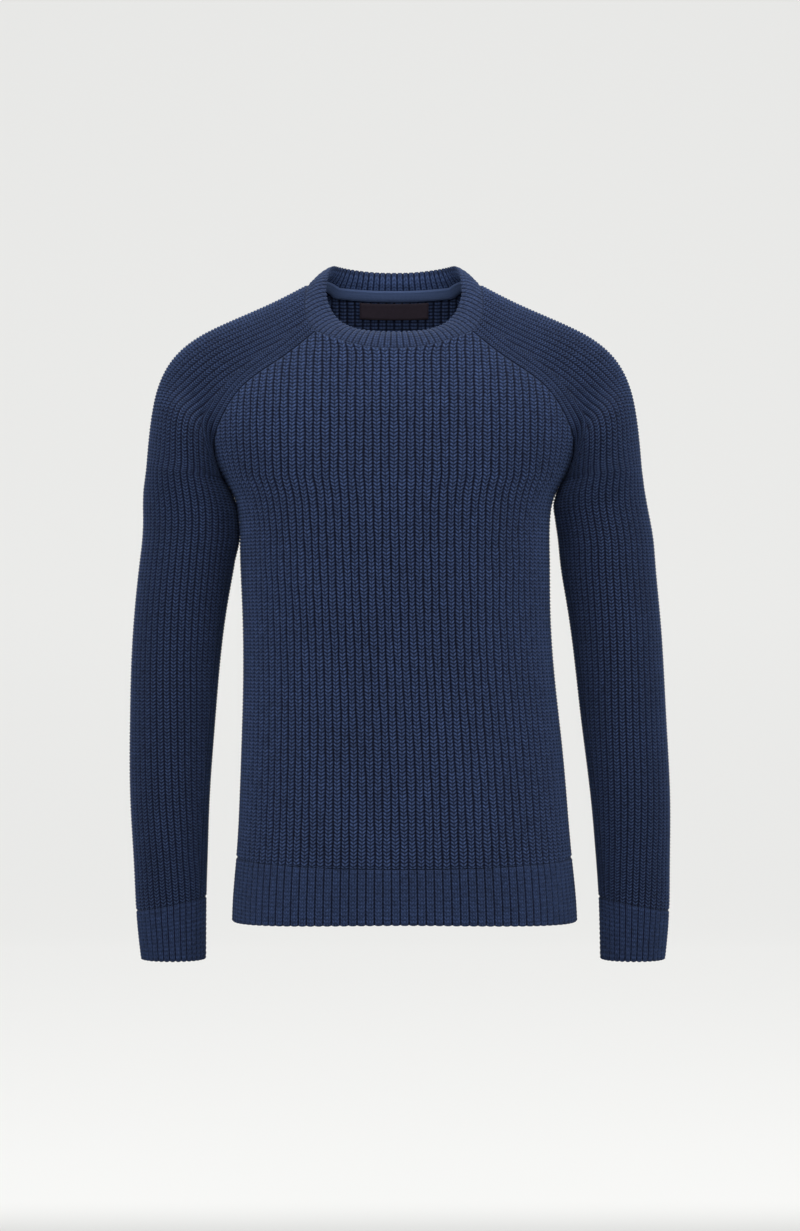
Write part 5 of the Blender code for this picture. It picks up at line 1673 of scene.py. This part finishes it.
class SweaterColours(bpy.types.PropertyGroup):
    """Colours of the yarns and trims."""

    yarn: FloatVectorProperty(name="Yarn", description="Main yarn, on the front and back",
                              subtype="COLOR", default=(0.0290, 0.0485, 0.114))
    # Painted shade: the dark colour that the yarn is painted towards between its strands and deep
    # between its ribs; the linking yarn's colour is this one lifted.
    painted_groove_shade: FloatVectorProperty(name="Painted shade in grooves", description="Painted shade of all yarn deep between ribs",
                                   subtype="COLOR", default=(0.0013, 0.0029, 0.0115))
    # Painted shade: the sleeves' yarn is a darker copy of the main yarn.
    sleeve: FloatVectorProperty(name="Sleeve yarn in painted shade", description="Yarn of both sleeves, darkened as painted shade",
                                subtype="COLOR", default=(0.0230, 0.0390, 0.092))
    collar: FloatVectorProperty(name="Collar yarn", description="Yarn of the folded collar",
                                subtype="COLOR", default=(0.0208, 0.0345, 0.080))
    rib: FloatVectorProperty(name="Rib yarn", description="Yarn of the hem and cuff ribs",
                             subtype="COLOR", default=(0.019, 0.033, 0.081))
    tape: FloatVectorProperty(name="Tape", description="Neck tape's jersey",
                              subtype="COLOR", default=(0.060, 0.094, 0.200))
    label: FloatVectorProperty(name="Label", description="Blank neck label's satin",
                               subtype="COLOR", default=(0.024, 0.017, 0.026))


def relief_values(scene, wale_centre, depth, start, dip, stitch=1.0):
    """Give the relief tree's inputs for one kind of rib."""
    knit = scene.sweater_knit
    return {"Rib depth": depth, "Groove start": start, "Wale centre": wale_centre, "Wale dip": dip,
            "Stitch height": knit.stitch_height * stitch, "Edge dip": knit.edge_dip}


def tree_named(maker, name):
    """Give a geometry tree, made when it is first needed."""
    return bpy.data.node_groups.get(name) or maker()


def dress(piece, node, material, values):
    """Raise a piece's knitting, give it its yarn, and put it in its node's place."""
    apply_tree(piece, tree_named(relief_tree, "Knit relief"), {**values, "Yarn": material})
    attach(piece, "root")
    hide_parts(node)


class SWEATER_OT_panels(bpy.types.Operator):
    """Knit the front and the back"""

    bl_idname = "sweater.panels"
    bl_label = "Knit front and back"

    def execute(self, context):
        scene = context.scene
        colours = scene.sweater_colours
        yarn = yarn_material("Rib_yarn", colours.yarn, colours.painted_groove_shade,
                             wale_centre=0.0, line=0.08, groove_start=0.27, gap_shade=0.93)
        values = relief_values(scene, wale_centre=0.0, depth=scene.sweater_knit.rib_depth,
                               start=0.14, dip=0.0003)
        for node, face, creases, length, area in (("front", FRONT, FRONT_FOLDS, 0.54, 0.25),
                                                  ("back", BACK, BACK_FOLDS, 0.61, 0.27)):
            piece = knit_panel("knit_" + node, face, creases)
            dress(piece, node, yarn, values)
        return {"FINISHED"}


class SWEATER_OT_sleeves(bpy.types.Operator):
    """Knit the two raglan sleeves"""

    bl_idname = "sweater.sleeves"
    bl_label = "Knit sleeves"

    def execute(self, context):
        scene = context.scene
        colours = scene.sweater_colours
        # The sleeves take a darker copy of the main yarn, as painted shade.
        yarn = yarn_material("Sleeve_yarn_in_painted_shade", colours.sleeve, colours.painted_groove_shade,
                             wale_centre=0.0, line=0.08, groove_start=0.27, gap_shade=1.0)
        values = relief_values(scene, wale_centre=0.0, depth=scene.sweater_knit.rib_depth * 0.85,
                               start=0.14, dip=0.0003)
        for side, mirror, creases in (("left", False, LEFT_SLEEVE_FOLDS),
                                      ("right", True, RIGHT_SLEEVE_FOLDS)):
            piece = knit_sleeve("knit_sleeve_" + side, mirror, creases)
            dress(piece, "sleeve_" + side, yarn, values)
        return {"FINISHED"}


class SWEATER_OT_ribs(bpy.types.Operator):
    """Knit the hem ribs and the cuffs"""

    bl_idname = "sweater.ribs"
    bl_label = "Knit hem and cuffs"

    def execute(self, context):
        scene = context.scene
        colours = scene.sweater_colours
        yarn = yarn_material("Edge_rib_yarn", colours.rib, colours.painted_groove_shade,
                             wale_centre=1 / 6, line=0.045, groove_start=0.34, gap_shade=0.5)
        values = relief_values(scene, wale_centre=1 / 6, depth=scene.sweater_knit.hem_depth,
                               start=0.33, dip=0.0003, stitch=0.5)
        for side, face in (("front", FRONT), ("back", BACK)):
            piece = knit_hem("knit_hem_" + side, face)
            dress(piece, "hem_rib_" + side, yarn, values)
        for side, mirror in (("left", False), ("right", True)):
            piece = knit_cuff("knit_cuff_" + side, mirror)
            dress(piece, "cuff_" + side, yarn, values)
        return {"FINISHED"}


class SWEATER_OT_neck(bpy.types.Operator):
    """Make the collar, the neck tape and the blank label"""

    bl_idname = "sweater.neck"
    bl_label = "Make collar, tape and label"

    def execute(self, context):
        scene = context.scene
        colours = scene.sweater_colours
        # Painted light: inner=1.3 lights up the collar's inner face in its yarn colour.
        yarn = yarn_material("Collar_yarn", colours.collar, colours.painted_groove_shade,
                             wale_centre=0.0, line=0.09, groove_start=0.25, gap_shade=0.5, inner=1.3)
        values = relief_values(scene, wale_centre=0.0, depth=scene.sweater_knit.collar_depth,
                               start=0.10, dip=0.0002, stitch=0.4)
        piece = knit_collar("knit_collar")
        dress(piece, "collar", yarn, values)
        plain = relief_values(scene, wale_centre=0.0, depth=0.0, start=0.10, dip=0.0, stitch=0.0)
        plain["Edge dip"] = 0.0002
        piece = knit_tape("neck_tape_jersey")
        dress(piece, "neck_tape", jersey_material("Tape_jersey", colours.tape), plain)
        piece = knit_trim("blank_label", LABEL_HALF_RIBS, LABEL_START, LABEL_END, LABEL_ROWS)
        dress(piece, "label", satin_material("Label_satin", colours.label), plain)
        return {"FINISHED"}


class SWEATER_OT_seams(bpy.types.Operator):
    """Link the pieces along their seams"""

    bl_idname = "sweater.seams"
    bl_label = "Link seams"

    def execute(self, context):
        deep = context.scene.sweater_colours.painted_groove_shade
        # The linking yarn's colour is the painted groove shade, lifted by DEEP_LIFT.
        colour = [DEEP_LIFT * part for part in deep]
        yarn = yarn_material("Linking_yarn", colour, deep,
                             wale_centre=0.0, line=0.09, groove_start=0.24, gap_shade=0.3)
        piece = link_seams("seam_linking", yarn)
        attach(piece, "root")
        return {"FINISHED"}


def studio_surface(name, points, material):
    """Make a sweep of paper from a profile, wide enough to fill every view."""
    mesh = bpy.data.meshes.new(name)
    corners = [(x, y, z) for y, z in points for x in (-PAPER_HALF_WIDTH, PAPER_HALF_WIDTH)]
    faces = [(2 * i, 2 * i + 1, 2 * i + 3, 2 * i + 2) for i in range(len(points) - 1)]
    mesh.from_pydata(corners, [], faces)
    mesh.shade_smooth()
    mesh.materials.append(material)
    made = bpy.data.objects.new(name, mesh)
    bpy.context.scene.collection.objects.link(made)


# Paper and sky
PAPER_GRAIN = (3.0, 2.0)
PAPER_TURN_Y = 0.6
FRONT_PAPER = (0.36, 0.365, 0.357, 1.0)
BACK_PAPER = (0.165, 0.167, 0.163, 1.0)
PAPER_FLECK = (0.97, 0.97, 0.97, 1.0)
GLOW_COLOUR = (1.0, 1.0, 0.985, 1.0)
PAPER_ROUGHNESS = 0.9
BEND_STEPS = 13
SKY_COLOUR = (0.95, 0.97, 1.0, 1.0)


class SWEATER_OT_stage(bpy.types.Operator):
    """Set up the paper sweep, the soft lights and the camera"""

    bl_idname = "sweater.stage"
    bl_label = "Set up studio"

    def execute(self, context):
        scene = context.scene
        paper, tree, place = new_material("Pale_paper")
        grain = tree.noise(place, *PAPER_GRAIN)
        _, away, _ = tree.parts(place)
        behind = soft(away * 2.0 - PAPER_TURN_Y)
        base = tree.mix(behind, FRONT_PAPER, BACK_PAPER)
        flecks = tree.mix(grain, PAPER_FLECK, (1.0, 1.0, 1.0, 1.0))
        shown = tree.mix(1.0, base, flecks, "MULTIPLY")
        glow = tree.mix(behind, (0.0, 0.0, 0.0, 1.0), GLOW_COLOUR)
        shader = paper.node_tree.nodes["Principled BSDF"]
        for name, shade in (("Base Color", shown), ("Emission Color", glow)):
            paper.node_tree.links.new(shade.socket, shader.inputs[name])
        shader.inputs["Roughness"].default_value = PAPER_ROUGHNESS
        shader.inputs["Emission Strength"].default_value = PAPER_GLOW
        scene.view_settings.view_transform = "Standard"
        turns = np.linspace(0, np.pi / 2, BEND_STEPS)
        bend = [(PAPER_WALL_Y - PAPER_BEND * (1 - np.sin(turn)),
                 FLOOR_Z + PAPER_BEND * (1 - np.cos(turn))) for turn in turns]
        profile = [(PAPER_FRONT_Y, FLOOR_Z)] + bend + [(PAPER_WALL_Y, PAPER_TOP_Z)]
        studio_surface("paper_sweep", profile, paper)
        world = bpy.data.worlds.new("Studio")
        scene.world = world
        world.use_nodes = True
        sky = world.node_tree.nodes["Background"].inputs
        sky["Color"].default_value = SKY_COLOUR
        sky["Strength"].default_value = AMBIENT
        for name, energy, size, place in LIGHTS:
            light = bpy.data.lights.new(name, "AREA")
            light.energy = energy
            light.size = size
            lamp = bpy.data.objects.new(name, light)
            lamp.location = place
            aim = Vector(AIM) - lamp.location
            lamp.rotation_euler = aim.to_track_quat("-Z", "Y").to_euler()
            scene.collection.objects.link(lamp)
        lens = bpy.data.cameras.new("Camera")
        lens.sensor_fit = "AUTO"
        lens.sensor_width = SENSOR
        lens.lens = SENSOR * CAMERA_DISTANCE / FRAME_HEIGHT
        camera = bpy.data.objects.new("Camera", lens)
        camera.location = (CAMERA_X, -CAMERA_DISTANCE, CAMERA_Z)
        camera.rotation_euler = (np.pi / 2, 0, 0)
        scene.collection.objects.link(camera)
        scene.camera = camera
        return {"FINISHED"}


class SWEATER_PT_steps(bpy.types.Panel):
    """Lists the steps that make the sweater"""

    bl_idname = "SWEATER_PT_steps"
    bl_label = "Rib knit sweater"
    bl_space_type = "VIEW_3D"
    bl_region_type = "UI"
    bl_category = "Sweater"

    def draw(self, context):
        layout = self.layout
        for group in (context.scene.sweater_knit, context.scene.sweater_colours):
            for name in group.__annotations__:
                layout.prop(group, name)
        for step in STEPS:
            layout.operator(step.bl_idname)


STEPS = (SWEATER_OT_panels, SWEATER_OT_sleeves, SWEATER_OT_ribs, SWEATER_OT_neck, SWEATER_OT_seams,
         SWEATER_OT_stage)
CLASSES = (SweaterKnit, SweaterColours) + STEPS + (SWEATER_PT_steps,)


def register():
    """Register the classes and their properties."""
    for kind in CLASSES:
        bpy.utils.register_class(kind)
    bpy.types.Scene.sweater_knit = bpy.props.PointerProperty(type=SweaterKnit)
    bpy.types.Scene.sweater_colours = bpy.props.PointerProperty(type=SweaterColours)


def unregister():
    """Take the classes and their properties away."""
    del bpy.types.Scene.sweater_colours
    del bpy.types.Scene.sweater_knit
    for kind in reversed(CLASSES):
        bpy.utils.unregister_class(kind)


def main():
    """Make the sweater and its studio."""
    register()
    bpy.ops.sweater.panels()
    bpy.ops.sweater.sleeves()
    bpy.ops.sweater.ribs()
    bpy.ops.sweater.neck()
    bpy.ops.sweater.seams()
    bpy.ops.sweater.stage()


if __name__ == "__main__":
    main()
